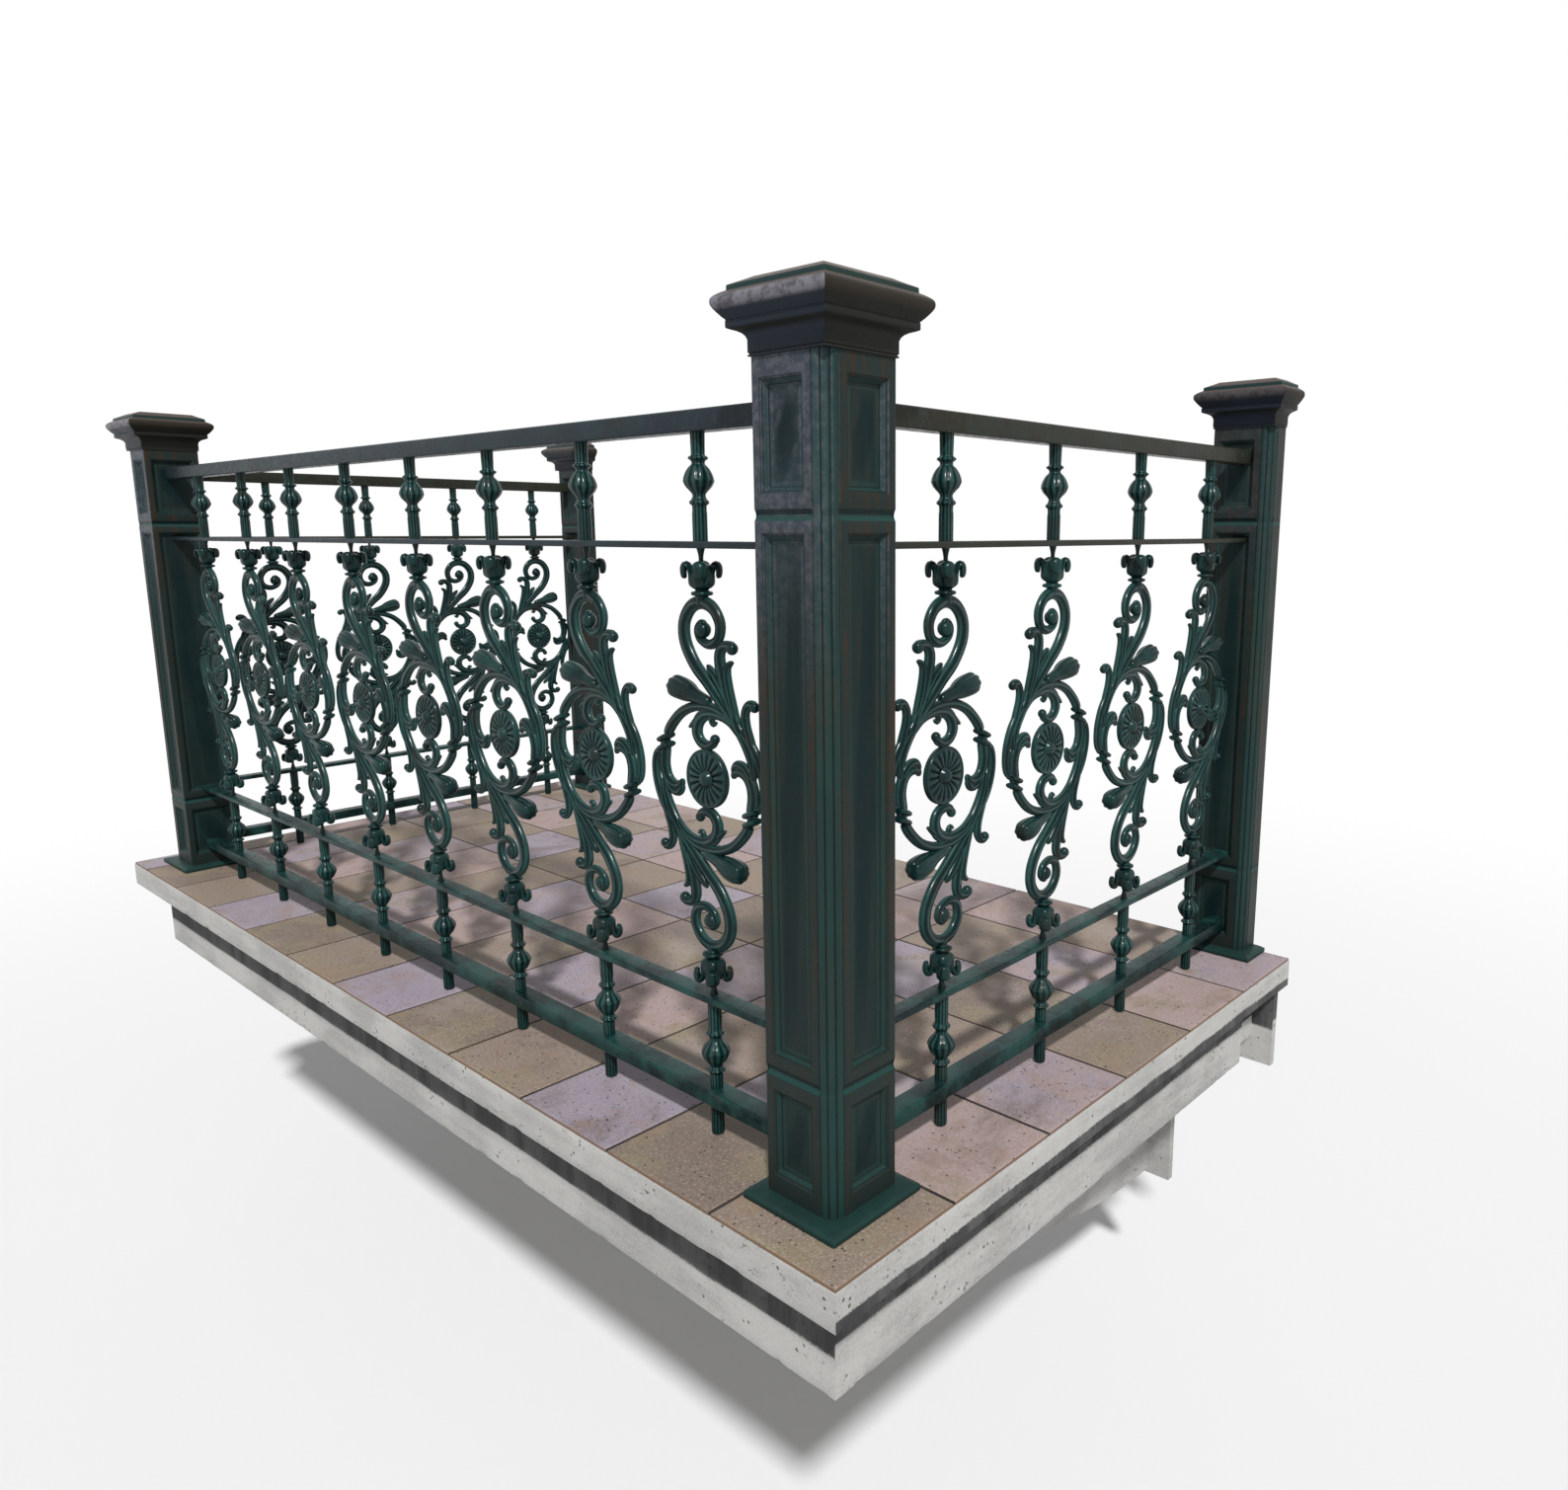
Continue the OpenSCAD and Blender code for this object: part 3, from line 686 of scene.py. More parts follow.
def square_loft(profile, rounding=1.4, half_post=False, between=4):
    """Points of a square moulding: at each (half width, height) of the profile, the square of that half
    width with its corners rounded."""
    profile = np.asarray(profile, float)
    unit, arc = [], []
    corners = [(1, -1), (1, 1), (-1, 1), (-1, -1)]
    if half_post:
        corners = [(-1, -1), (1, -1)]
    for i, (cx, cy) in enumerate(corners):
        start = math.atan2(cy, cx) - math.pi / 4
        for a in np.linspace(start, start + math.pi / 2, 5):
            unit.append((cx, cy))
            arc.append((math.cos(a), math.sin(a)))
        if not half_post or i == 0:
            nx, ny = corners[(i + 1) % len(corners)]
            for t in np.linspace(0, 1, between + 2)[1:-1]:
                unit.append((cx + (nx - cx) * t, cy + (ny - cy) * t))
                arc.append((cx if cx == nx else 0, cy if cy == ny else 0))
    unit, arc = np.array(unit, float), np.array(arc, float)
    if half_post:
        unit = np.vstack([[-1, 0], unit, [1, 0]])
        arc = np.vstack([[-1, 0], arc, [1, 0]])
    h = profile[:, 0][:, None]
    r = np.minimum(rounding, h)
    x = (h - r) * unit[:, 0] + r * arc[:, 0]
    y = (h - r) * unit[:, 1] + r * arc[:, 1]
    if half_post:
        y[:, 0] = 0
        y[:, -1] = 0
        x[:, 0] = -h[:, 0]
        x[:, -1] = h[:, 0]
    z = profile[:, 1][:, None] * np.ones_like(x)
    return np.stack([x, y, z], axis=-1)


# Half width and height round a moulding, from the middle of its underside to the middle of its top
CAP_PROFILE = [
    (0, 1178.0), (66, 1178.0), (69, 1178.4), (69, 1180.2), (67.6, 1180.8), (67.6, 1182.2), (69, 1182.9),
    (69, 1198.6), (69.4, 1200.0), (71, 1203.6), (74, 1206.8), (78.5, 1209.2), (84, 1211), (87.8, 1212.6),
    (88.5, 1213.8), (88.5, 1221.2), (87.9, 1222.2), (88.6, 1223.2), (92, 1226.6), (96, 1231.4),
    (99.4, 1236), (101.4, 1239.6), (102, 1242.6), (102, 1245.4), (101.3, 1248.2), (99, 1251),
    (95, 1253.8), (90.5, 1256.4), (88, 1257.4), (87, 1258.4), (86.8, 1259.4), (86.8, 1263.4),
    (86, 1264.6), (75, 1269.4), (66, 1273.6), (63.6, 1274.9), (62, 1275.5), (0, 1275.5),
]
FOOT_PROFILE = [
    (0, 0), (92, 0), (93, 0.9), (93, 8.2), (92.2, 9.4), (84, 11.0), (76, 11.8), (72, 12.0), (0, 12.0),
]

# Bars: length of a mesh step, thickness from which a bar is rounder, and both roundings of the edges
BAR_STEP = 90.0
THICK_BAR = 20.0
SLIGHT_EASING, ROUND_EASING = 2.2, 3.6


def bar_form(start, end, top, thick, wide, easing):
    """Bar along X between two stations: a rectangle wide by thick with rounded edges, closed at its ends."""
    stations = np.linspace(start, end, max(int(abs(end - start) / BAR_STEP), 4))
    section = []
    for cy, cz, first in ((1, -1, -90), (1, 1, 0), (-1, 1, 90), (-1, -1, 180)):
        for a in np.radians(first + np.array([0, 22.5, 45, 67.5, 90])):
            y = cy * (wide / 2 - easing) + easing * math.cos(a)
            z = top - thick / 2 + cz * (thick / 2 - easing) + easing * math.sin(a)
            section.append((y, z))
    section = np.array(section)
    p = np.zeros((len(stations), len(section), 3))
    p[..., 0] = stations[:, None]
    p[..., 1] = section[:, 0]
    p[..., 2] = section[:, 1]
    return closed(p)


def block_form(low, high, cell=22.0, easing=1.6, chips=2.2, seed=1):
    """Rectangular block. Rows run from the middle of its underside over the edges to the middle of its top,
    columns round it; near the edges the surface is drawn in by up to chips where noise of 26 and 9 mm is
    above 0.62."""
    low, high = np.array(low, float), np.array(high, float)
    middle, half = (low + high) / 2, (high - low) / 2
    xs = np.linspace(-1, 1, max(int(2 * half[0] / cell), 2) + 1)
    ys = np.linspace(-1, 1, max(int(2 * half[1] / cell), 2) + 1)
    ring = [(x, -1, 0, -1) for x in xs] + [(1, y, 1, 0) for y in ys]
    ring += [(x, 1, 0, 1) for x in xs[::-1]] + [(-1, y, -1, 0) for y in ys[::-1]]
    ring = np.array(ring)
    height = 2 * half[2]
    levels = max(int(height / cell), 1)
    rows = [(-half[2], 0.0), (-half[2], easing), (-half[2] + easing * 0.3, easing * 0.3)]
    rows += [(z, 0.0) for z in np.linspace(-half[2] + easing, half[2] - easing, levels + 1)]
    rows += [(half[2] - easing * 0.3, easing * 0.3), (half[2], easing), (half[2], 0.0)]
    p = np.zeros((len(rows), len(ring), 3))
    for i, (z, inset) in enumerate(rows):
        p[i, :, 0] = middle[0] + ring[:, 0] * (half[0] - inset)
        p[i, :, 1] = middle[1] + ring[:, 1] * (half[1] - inset)
        p[i, :, 2] = middle[2] + z
    p[0, :, :2] = middle[:2]
    p[-1, :, :2] = middle[:2]
    points = p.reshape(-1, 3)
    noise = lattice(points, 26.0, seed) * 0.6 + lattice(points, 9.0, seed + 7) * 0.4
    bite = chips * ease((noise - 0.62) / 0.14).reshape(p.shape[:2])
    edge = np.zeros(p.shape[:2])
    edge[1:4] = [[1.0], [1.0], [0.5]]
    edge[-4:-1] = [[0.5], [1.0], [1.0]]
    p[..., 0] -= ring[:, 2] * bite * edge
    p[..., 1] -= ring[:, 3] * bite * edge
    return p


def tile_form(x0, x1, y0, y1, bottom, top, easing=1.1):
    """One floor tile: rows from the middle of its underside round the worn arris to the middle of its top,
    each a rectangle drawn in by the row's inset."""
    middle = np.array([x0 + x1, y0 + y1]) / 2
    half = np.array([x1 - x0, y1 - y0]) / 2
    t = np.linspace(-1, 1, 7)
    ring = np.array([(x, -1) for x in t[:-1]] + [(1, y) for y in t[:-1]]
                    + [(x, 1) for x in t[:0:-1]] + [(-1, y) for y in t[:0:-1]])
    rows = [(bottom, None), (bottom, 0.0), (top - 1.6 * easing, 0.0), (top - 0.5 * easing, 0.35 * easing),
            (top, 1.3 * easing), (top, 8.0), (top, None)]
    p = np.zeros((len(rows), len(ring), 3))
    for i, (z, inset) in enumerate(rows):
        reach = np.zeros(2) if inset is None else np.maximum(half - inset, 0)
        p[i, :, :2] = middle + ring * reach
        p[i, :, 2] = z
    return p


# Materials

WHITE = (1.0, 1.0, 1.0)
PALE_FLOOR = (0.86, 0.86, 0.86)

# Most rust on the rubbed places of the castings
CAST_WEAR = 0.4

# Places in metres where a finish changes: two for an edge, four for a band that fades in and out
# Heights over which the painted sheen on the posts' forward frames comes in, full from the upper one up
SHEEN_HEIGHTS = (0.72, 1.08)
# Y over which the painted sheen fades, from full at the front posts to a quarter at the wall posts
SHEEN_FADE_Y = (-1.2, -0.4)
CAP_EDGE = (1.2135, 1.2145)
NOSE = (1.268, 1.274, 1.285, 1.291)
FILLET = (1.2915, 1.2935, 1.2995, 1.301)
UPPER_BARS = (0.4, 0.9)
SIDE_BARS = (1.20, 1.24)
BAND_FRONT = (-1.42, -1.41)
BAND_SIDES = (1.34, 1.35)
# Heights of the painted shadow that the slab's rim casts on the bands' outer faces
PAINTED_SHADOW_HEIGHTS = (-0.142, -0.136, -0.034, -0.030)
FAR_FLOOR = (2.4, 7.0)

# Colours on the iron beside those in the panel
CAST_SPECK = (0.04, 0.08, 0.074)
# Painted sheen, grey and mauve, on the forward faces of the post frames
POST_PAINTED_SHEEN = ((0.040, 0.050, 0.064), (0.085, 0.090, 0.108))
POST_FRAME = (0.014, 0.024, 0.022)
POST_SPECK = (0.05, 0.06, 0.062)
# One paint on the cap in two tints as painted light: bluer where it faces forwards, browner sideways
CAP_SIDE, CAP_FRONT = (0.014, 0.015, 0.012), (0.015, 0.021, 0.032)
NOSE_SIDE = (0.024, 0.019, 0.014)
# Painted sheen, pale mauve, on the cap's nose where it faces forwards
NOSE_PAINTED_SHEEN = ((0.085, 0.080, 0.090), (0.19, 0.185, 0.215))
CAP_FILLET = (0.014, 0.040, 0.036)
# Painted light on the cap's upward faces, lighter where they also face forwards
TOP_SIDE, TOP_FRONT = (0.075, 0.052, 0.042), (0.105, 0.082, 0.074)
BAR_FRONT, BAR_SIDE = (0.018, 0.025, 0.034), (0.024, 0.020, 0.012)
BAR_MOTTLE = (0.05, 0.062, 0.064)

# Colours in the concrete
CONCRETE_SAND = (0.26, 0.26, 0.255)
CONCRETE_STAIN = (0.33, 0.31, 0.28)
CONCRETE_CRUMB = (0.27, 0.26, 0.245)
CONCRETE_PIT = (0.10, 0.098, 0.092)
# Near black of the painted shadow under the slab's rim
PAINTED_SHADOW_COLOUR = (0.030, 0.030, 0.031)

# Colours in the tiles and their joints
TILE_PINK = (0.40, 0.30, 0.285)
TILE_OLIVE = (0.27, 0.235, 0.13)
TILE_BLOOM = (0.42, 0.36, 0.35)
TILE_BURNT = (0.13, 0.095, 0.08)
TILE_CLAY = (0.31, 0.20, 0.15)
PALE_GRIT, DARK_GRIT = (0.56, 0.48, 0.47), (0.11, 0.08, 0.07)
TILE_SPECK = (0.07, 0.055, 0.05)
TILE_PINHOLE = (0.035, 0.026, 0.026)
TILE_FLANK = (0.15, 0.082, 0.042)
JOINT_COLOURS = ((0.010, 0.009, 0.011), (0.034, 0.027, 0.024))


class Value:
    """A shader socket that Python arithmetic can be done with; each operation adds a Math node."""

    def __init__(self, network, socket):
        self.network = network
        self.socket = socket

    def _math(self, operation, *values):
        return self.network.add("Math", {"operation": operation}, dict(enumerate(values)))

    def __add__(self, other):
        return self._math("ADD", self, other)

    def __radd__(self, other):
        return self._math("ADD", other, self)

    def __sub__(self, other):
        return self._math("SUBTRACT", self, other)

    def __rsub__(self, other):
        return self._math("SUBTRACT", other, self)

    def __mul__(self, other):
        return self._math("MULTIPLY", self, other)

    def __rmul__(self, other):
        return self._math("MULTIPLY", other, self)

    def __abs__(self):
        return self._math("ABSOLUTE", self)

    def greater(self, other):
        """The greater of the two."""
        return self._math("MAXIMUM", self, other)


class Network:
    """Nodes of a material or a world, all made by one method."""

    def __init__(self, owner):
        owner.use_nodes = True
        self.owner = owner
        self.tree = owner.node_tree

    def fill(self, node, sockets):
        """Links each Value to its socket of the node, and sets each constant on its own."""
        for key, value in sockets.items():
            socket = node.inputs[key]
            if isinstance(value, Value):
                self.tree.links.new(value.socket, socket)
            elif socket.type == "RGBA":
                socket.default_value = tuple(value) + (1.0,)
            else:
                socket.default_value = value

    def add(self, kind, settings, sockets, out=0):
        """Adds a node of that type, applies its settings, fills its sockets and returns an output."""
        node = self.tree.nodes.new("ShaderNode" + kind)
        for key, value in settings.items():
            setattr(node, key, value)
        self.fill(node, sockets)
        return Value(self, node.outputs[out])

    def seen(self):
        """1 on rays from the camera, off gloss and through glass, and 0 on those that only light things."""
        camera, glossy, glass = (
            self.add("LightPath", {}, {}, f"Is {kind} Ray") for kind in ("Camera", "Glossy", "Transmission")
        )
        return camera.greater(glossy).greater(glass)

    def show(self, output, factor, low, high):
        """Shows the shader low where the factor is 0, and high where it is 1."""
        blend = self.add("MixShader", {}, {0: factor, 1: low, 2: high})
        self.fill(self.tree.nodes[output], {"Surface": blend})


class Finish(Network):
    """A material about its Principled shader."""

    def __init__(self, name):
        super().__init__(bpy.data.materials.new(name))
        self.shader = self.tree.nodes["Principled BSDF"]
        self.place = self.add("TexCoord", {}, {}, "Object")

    def noise(self, scale, detail=4.0, roughness=0.55, stretch=None, distortion=0.0):
        """Noise of about 0.3 to 0.7, with that many waves to a metre, or along each axis if stretched."""
        where = self.place
        if stretch:
            where = self.add("Mapping", {}, {"Vector": self.place, "Scale": stretch})
        sockets = {"Vector": where, "Scale": scale, "Detail": detail,
                   "Roughness": roughness, "Distortion": distortion}
        return self.add("TexNoise", {}, sockets)

    def cells(self, scale):
        """Distance to the nearest of scattered points in cells, with that many cells to a metre."""
        sockets = {"Vector": self.place, "Scale": scale, "Randomness": 1.0}
        return self.add("TexVoronoi", {"feature": "F1"}, sockets)

    def step(self, value, low, high, start=0.0, end=1.0):
        """start below low, end above high, eased between."""
        sockets = {"Value": value, "From Min": low, "From Max": high, "To Min": start, "To Max": end}
        return self.add("MapRange", {"interpolation_type": "SMOOTHSTEP"}, sockets)

    def band(self, value, low, high, end, past):
        """1 from high to end, eased to 0 at low and at past."""
        return self.step(value, low, high) * self.step(value, end, past, 1.0, 0.0)

    def mix(self, mask, a, b):
        """Colour a where the mask is 0 and b where it is 1."""
        return self.add("Mix", {"data_type": "RGBA"}, {0: mask, 6: a, 7: b}, 2)

    def layers(self, base, *layers):
        """Lays each colour over what is under it, by its mask."""
        for mask, colour in layers:
            base = self.mix(mask, base, colour)
        return base

    def tone(self):
        """The tone that the piece's points were given."""
        return self.add("Attribute", {"attribute_name": "tone"}, {}, "Fac")

    def axis(self, name):
        """One coordinate of the place on the surface in metres: X, Y or Z."""
        return self.add("SeparateXYZ", {}, {"Vector": self.place}, name)

    def facing(self, name):
        """One coordinate of the surface's normal: X, Y or Z."""
        return self.add("SeparateXYZ", {}, {"Vector": self.add("TexCoord", {}, {}, "Normal")}, name)

    def bump(self, height, strength, distance, below=None):
        """Bump of that height socket, distance in metres, over the one below it."""
        sockets = {"Height": height, "Strength": strength, "Distance": distance}
        if below is not None:
            sockets["Normal"] = below
        return self.add("Bump", {}, sockets)

    def finish(self, **sockets):
        """Fills the shader's named sockets; an underscore stands for a space."""
        self.fill(self.shader, {key.replace("_", " "): value for key, value in sockets.items()})
        return self.owner


def cast_paint(name):
    """Dark gloss paint on iron castings: lighter green on the crests as a painted highlight, over nearly
    black in the channels as painted shade, rubbed brown in places, with fine grain and a glossier coat on the
    crests."""
    look = bpy.context.scene.balcony_iron
    f = Finish(name)
    cloud = f.noise(13.0, 5.0)
    grain = f.noise(150.0, 4.0, 0.65)
    speck = f.noise(460.0, 3.0, 0.7)
    crest = f.tone()
    rubbed = f.step(f.noise(12.0, 5.0, 0.6, distortion=0.4), 0.54, 0.70) * CAST_WEAR
    base = f.layers(
        look.paint,
        # Painted highlight: lighter green on the crests, with painted shade, near black, in the channels
        # between them
        (f.step(crest + (cloud - 0.5) * 1.2 + (grain - 0.5) * 0.4, 0.35, 1.05), look.verdigris),
        (rubbed, look.rust),
        (f.step(speck, 0.60, 0.76, 0.0, 0.15), CAST_SPECK),
    )
    rough = f.step(grain + (cloud - 0.5) * 0.5, 0.3, 0.75, look.gloss * 0.7, look.gloss * 1.6)
    low = f.bump(f.noise(70.0, 3.0), 0.25, 0.0006)
    coat = f.step(crest, 0.35, 0.9, 0.0, 0.4) * (1.0 - rubbed)
    return f.finish(Base_Color=base, Roughness=rough + rubbed * 0.2, Normal=f.bump(speck, 0.15, 0.0003, low),
                    Specular_IOR_Level=0.10, Coat_Weight=coat, Coat_Roughness=0.2)


def post_paint(name):
    """Paint on the posts: a grey painted sheen on the frames that face forwards, brown on those that face
    sideways, and lighter green along bevels, on the reeds' crests as a painted highlight and on the grooves'
    lower chamfers as painted light. The caps are darker, with a painted sheen on the nose's front, painted
    light on the upward faces, and front faces tinted bluer than side faces as painted light."""
    look = bpy.context.scene.balcony_iron
    f = Finish(name)
    tone = f.tone()
    cloud = f.noise(7.0, 5.0, 0.6)
    streak = f.noise(1.0, 5.0, 0.6, stretch=(60.0, 60.0, 6.0))
    grain = f.noise(240.0, 4.0, 0.7)
    mottle = f.noise(70.0, 5.0, 0.7)
    front = f.step(f.facing("Y") * -1.0, 0.3, 0.8)
    level = f.axis("Z")
    # Painted sheen: full at the front posts, a quarter at the wall posts
    sheen_fade = f.step(f.axis("Y"), *SHEEN_FADE_Y, 1.0, 0.25)
    worn = f.step(streak + (mottle - 0.5) * 0.4, 0.47, 0.63) * f.step(level, 0.15, 0.8, 0.25, 1.0)
    # Lighter green by the tone: along bevels, as painted highlights on reed crests and as painted light on
    # groove chamfers
    green = f.step(tone + (cloud - 0.5) * 0.5 + (streak - 0.5) * 0.35, 0.22, 0.95, 0.0, 0.85)
    field = f.band(tone, 0.24, 0.29, 0.36, 0.46) * f.step(cloud + (streak - 0.5) * 0.6, 0.36, 0.66, 1.0, 0.78)
    shaft = f.layers(
        POST_FRAME,
        (worn, look.rust),
        # Painted sheen on the frames that face forwards, from 0.72 m up
        (front * f.step(level, *SHEEN_HEIGHTS) * sheen_fade, f.mix(f.step(mottle, 0.42, 0.62), *POST_PAINTED_SHEEN)),
        (green, look.verdigris),
        (field, look.paint),
    )
    # Painted sheen on the front of the cap's nose; where the nose looks sideways it stays darker brown
    nose = f.mix(front * sheen_fade, NOSE_SIDE, f.mix(f.step(mottle, 0.38, 0.58), *NOSE_PAINTED_SHEEN))
    cap = f.layers(
        CAP_SIDE,
        # Painted light: the cap's forward faces bluer than its sideways ones
        (front, CAP_FRONT),
        (f.band(level, *NOSE), nose),
        (f.band(level, *FILLET) * 0.7, CAP_FILLET),
        # Painted light on the faces that look up, lighter where they also face forwards
        (f.step(f.facing("Z"), 0.72, 0.86) * 0.85, f.mix(front, TOP_SIDE, TOP_FRONT)),
    )
    base = f.mix(f.step(level, *CAP_EDGE), shaft, cap)
    base = f.mix(f.step(grain, 0.58, 0.78, 0.0, 0.2), base, POST_SPECK)
    rough = f.step(grain + (cloud - 0.5) * 0.5, 0.3, 0.75, 0.36, 0.60)
    low = f.bump(f.noise(60.0, 4.0, 0.6), 0.25, 0.0008)
    return f.finish(Base_Color=base, Roughness=rough, Normal=f.bump(grain, 0.45, 0.0004, low),
                    Specular_IOR_Level=0.12)


def bar_paint(name):
    """Paint on the flat bars: a mottled, slightly hammered gloss with dull bluish and olive clouds."""
    look = bpy.context.scene.balcony_iron
    f = Finish(name)
    cloud = f.noise(11.0, 5.0, 0.62)
    mottle = f.noise(95.0, 5.0, 0.7, distortion=0.5)
    upper = f.mix(f.step(abs(f.axis("X")), *SIDE_BARS), BAR_FRONT, BAR_SIDE)
    base = f.layers(
        look.paint,
        (f.step(cloud, 0.4, 0.62), look.verdigris),
        (f.step(f.axis("Z"), *UPPER_BARS) * 0.8, upper),
        (f.step(mottle, 0.5, 0.68, 0.0, 0.35), BAR_MOTTLE),
        (f.step(f.noise(20.0, 6.0, 0.7), 0.56, 0.72, 0.0, 0.6), look.rust),
    )
    low = f.bump(mottle, 0.5, 0.0009)
    normal = f.bump(f.noise(300.0, 3.0, 0.7), 0.25, 0.0003, low)
    return f.finish(Base_Color=base, Roughness=f.step(mottle, 0.35, 0.7, 0.26, 0.5), Normal=normal,
                    Specular_IOR_Level=0.13)


def concrete_finish(name):
    """Weathered light concrete: cloudy pale grey, fine sand, scattered dark air holes and faint stains, and
    a painted shadow of the rim, near black, on the outer faces of the bands."""
    look = bpy.context.scene.balcony_stone
    f = Finish(name)
    cloud = f.noise(4.0, 6.0, 0.6)
    sand = f.noise(240.0, 5.0, 0.75)
    wash = f.noise(1.0, 5.0, 0.6, stretch=(5.0, 5.0, 38.0))
    stain = f.noise(1.0, 5.0, 0.65, stretch=(14.0, 14.0, 2.2))
    hole = f.step(f.cells(70.0) + (sand - 0.5) * 0.25, 0.12, 0.24, 1.0, 0.0)
    hole = hole * f.step(f.noise(16.0, 3.0), 0.53, 0.62)
    crack = f.step(f.noise(1.0, 6.0, 0.75, stretch=(42.0, 42.0, 90.0), distortion=1.5), 0.60, 0.66)
    pit = hole.greater(crack * f.step(f.noise(7.0, 3.0), 0.50, 0.60))
    crumb = f.step(f.noise(60.0, 5.0, 0.75), 0.60, 0.70)
    # Height that places the painted shadow's lower edge: ragged by noise, and 22 mm higher on faces that look
    # sideways
    level = f.axis("Z") + (sand - 0.5) * 0.012 + (wash - 0.5) * 0.016
    level = level - f.step(f.facing("X"), 0.4, 0.6) * 0.022
    front = f.step(f.axis("Y"), *BAND_FRONT, 1.0, 0.0)
    outer = f.step(abs(f.axis("X")), *BAND_SIDES).greater(front) * f.step(f.facing("Y"), 0.4, 0.6, 1.0, 0.0)
    painted_shadow = f.band(level, *PAINTED_SHADOW_HEIGHTS) * outer
    base = f.layers(
        tuple(0.72 * c for c in look.concrete),
        (f.step(cloud + (wash - 0.5) * 0.5, 0.34, 0.62), look.concrete),
        (f.step(sand, 0.46, 0.66, 0.0, 0.55), tuple(min(1.16 * c, 1.0) for c in look.concrete)),
        (f.step(sand, 0.34, 0.46, 0.45, 0.0), CONCRETE_SAND),
        (f.step(stain, 0.54, 0.74, 0.0, 0.35), CONCRETE_STAIN),
        (crumb * 0.45, CONCRETE_CRUMB),
        (pit, CONCRETE_PIT),
        # Painted shadow of the rim, near black and broken by noise, on the bands' outer faces
        (painted_shadow * f.step(stain, 0.40, 0.60, 0.96, 0.84), PAINTED_SHADOW_COLOUR),
    )
    height = sand * 0.22 + f.noise(50.0, 4.0) * 0.5 - crumb * 0.5 - pit * 1.6
    return f.finish(Base_Color=base, Roughness=f.step(sand, 0.3, 0.7, 0.78, 0.95),
                    Normal=f.bump(height, 0.6, 0.0011), Specular_IOR_Level=0.3)


def tile_finish(name):
    """Speckled fired tile: each tile its own brown, tan, pink or mauve body colour, flashed in patches, with
    sand specks, pinholes, a worn pale bloom and dark joints."""
    look = bpy.context.scene.balcony_stone
    f = Finish(name)
    tone = f.tone()
    cloud = f.noise(9.0, 5.0, 0.65, distortion=0.3)
    speck = f.noise(420.0, 4.0, 0.75)
    grit = f.noise(230.0, 6.0, 0.78)
    pin = f.step(f.cells(95.0), 0.14, 0.26, 1.0, 0.0) * f.step(f.noise(30.0, 3.0), 0.48, 0.56)
    shade = tone + (cloud - 0.5) * 0.35
    base = f.layers(
        tuple(0.75 * c for c in look.tile_warm),
        (f.step(shade, 0.10, 0.30), look.tile_warm),
        (f.step(shade, 0.42, 0.56), TILE_PINK),
        (f.step(shade, 0.70, 0.90), look.tile_cool),
        (f.step(f.noise(7.0, 5.0, 0.6) + (tone - 0.5) * -0.12, 0.52, 0.64, 0.0, 0.5), TILE_OLIVE),
        (f.step(f.noise(3.2, 5.0, 0.62), 0.50, 0.64, 0.0, 0.35), TILE_BLOOM),
        (f.step(f.noise(4.0, 5.0, 0.65, distortion=0.6), 0.55, 0.70, 0.0, 0.55), TILE_BURNT),
        (f.step(grit, 0.52, 0.62, 0.0, 0.45), PALE_GRIT),
        (f.step(grit, 0.36, 0.46, 0.5, 0.0), DARK_GRIT),
        (f.step(f.noise(14.0, 5.0, 0.7), 0.52, 0.64, 0.0, 0.4), TILE_CLAY),
        (f.step(speck, 0.62, 0.70, 0.0, 0.8), TILE_SPECK),
        (pin * 0.85, TILE_PINHOLE),
        (f.step(f.facing("Z"), 0.3, 0.7, 0.85, 0.0), TILE_FLANK),
        (f.step(tone, -0.6, -0.4, 1.0, 0.0), f.mix(f.step(cloud, 0.45, 0.6), *JOINT_COLOURS)),
    )
    height = grit * 0.6 - f.step(speck, 0.60, 0.72) * 0.5 - pin * 0.8
    return f.finish(Base_Color=base, Roughness=f.step(grit, 0.3, 0.7, 0.5, 0.78),
                    Normal=f.bump(height, 0.6, 0.0009), Specular_IOR_Level=0.4)


def floor_finish(name):
    """Pale floor that takes the object's shadow and turns to plain white far away, as the camera sees it."""
    f = Finish(name)
    f.finish(Base_Color=PALE_FLOOR, Roughness=0.95, Specular_IOR_Level=0.0)
    distance = f.add("VectorMath", {"operation": "LENGTH"}, {0: f.place}, "Value")
    white = f.add("Emission", {}, {"Color": WHITE, "Strength": 1.0})
    factor = f.step(distance, *FAR_FLOOR) * f.seen()
    f.show("Material Output", factor, Value(f, f.shader.outputs[0]), white)
    return f.owner


def white_world(name, strength):
    """World that gives even light of that strength and looks plain white."""
    sky = Network(bpy.data.worlds.new(name))
    background = sky.tree.nodes["Background"]
    sky.fill(background, {"Color": WHITE, "Strength": strength})
    white = sky.add("Background", {}, {"Color": WHITE, "Strength": 1.0})
    sky.show("World Output", sky.seen(), Value(sky, background.outputs[0]), white)
    return sky.owner


# Operators


def corner_matrix(side, wall=False):
    """Place of a post: side is 1 on the right and -1, mirrored, on the left."""
    y = 0.0 if wall else POST_Y * MM
    matrix = Matrix.Translation((side * POST_X * MM, y, FLOOR * MM))
    return matrix @ Matrix.Diagonal((side, 1, 1, 1))


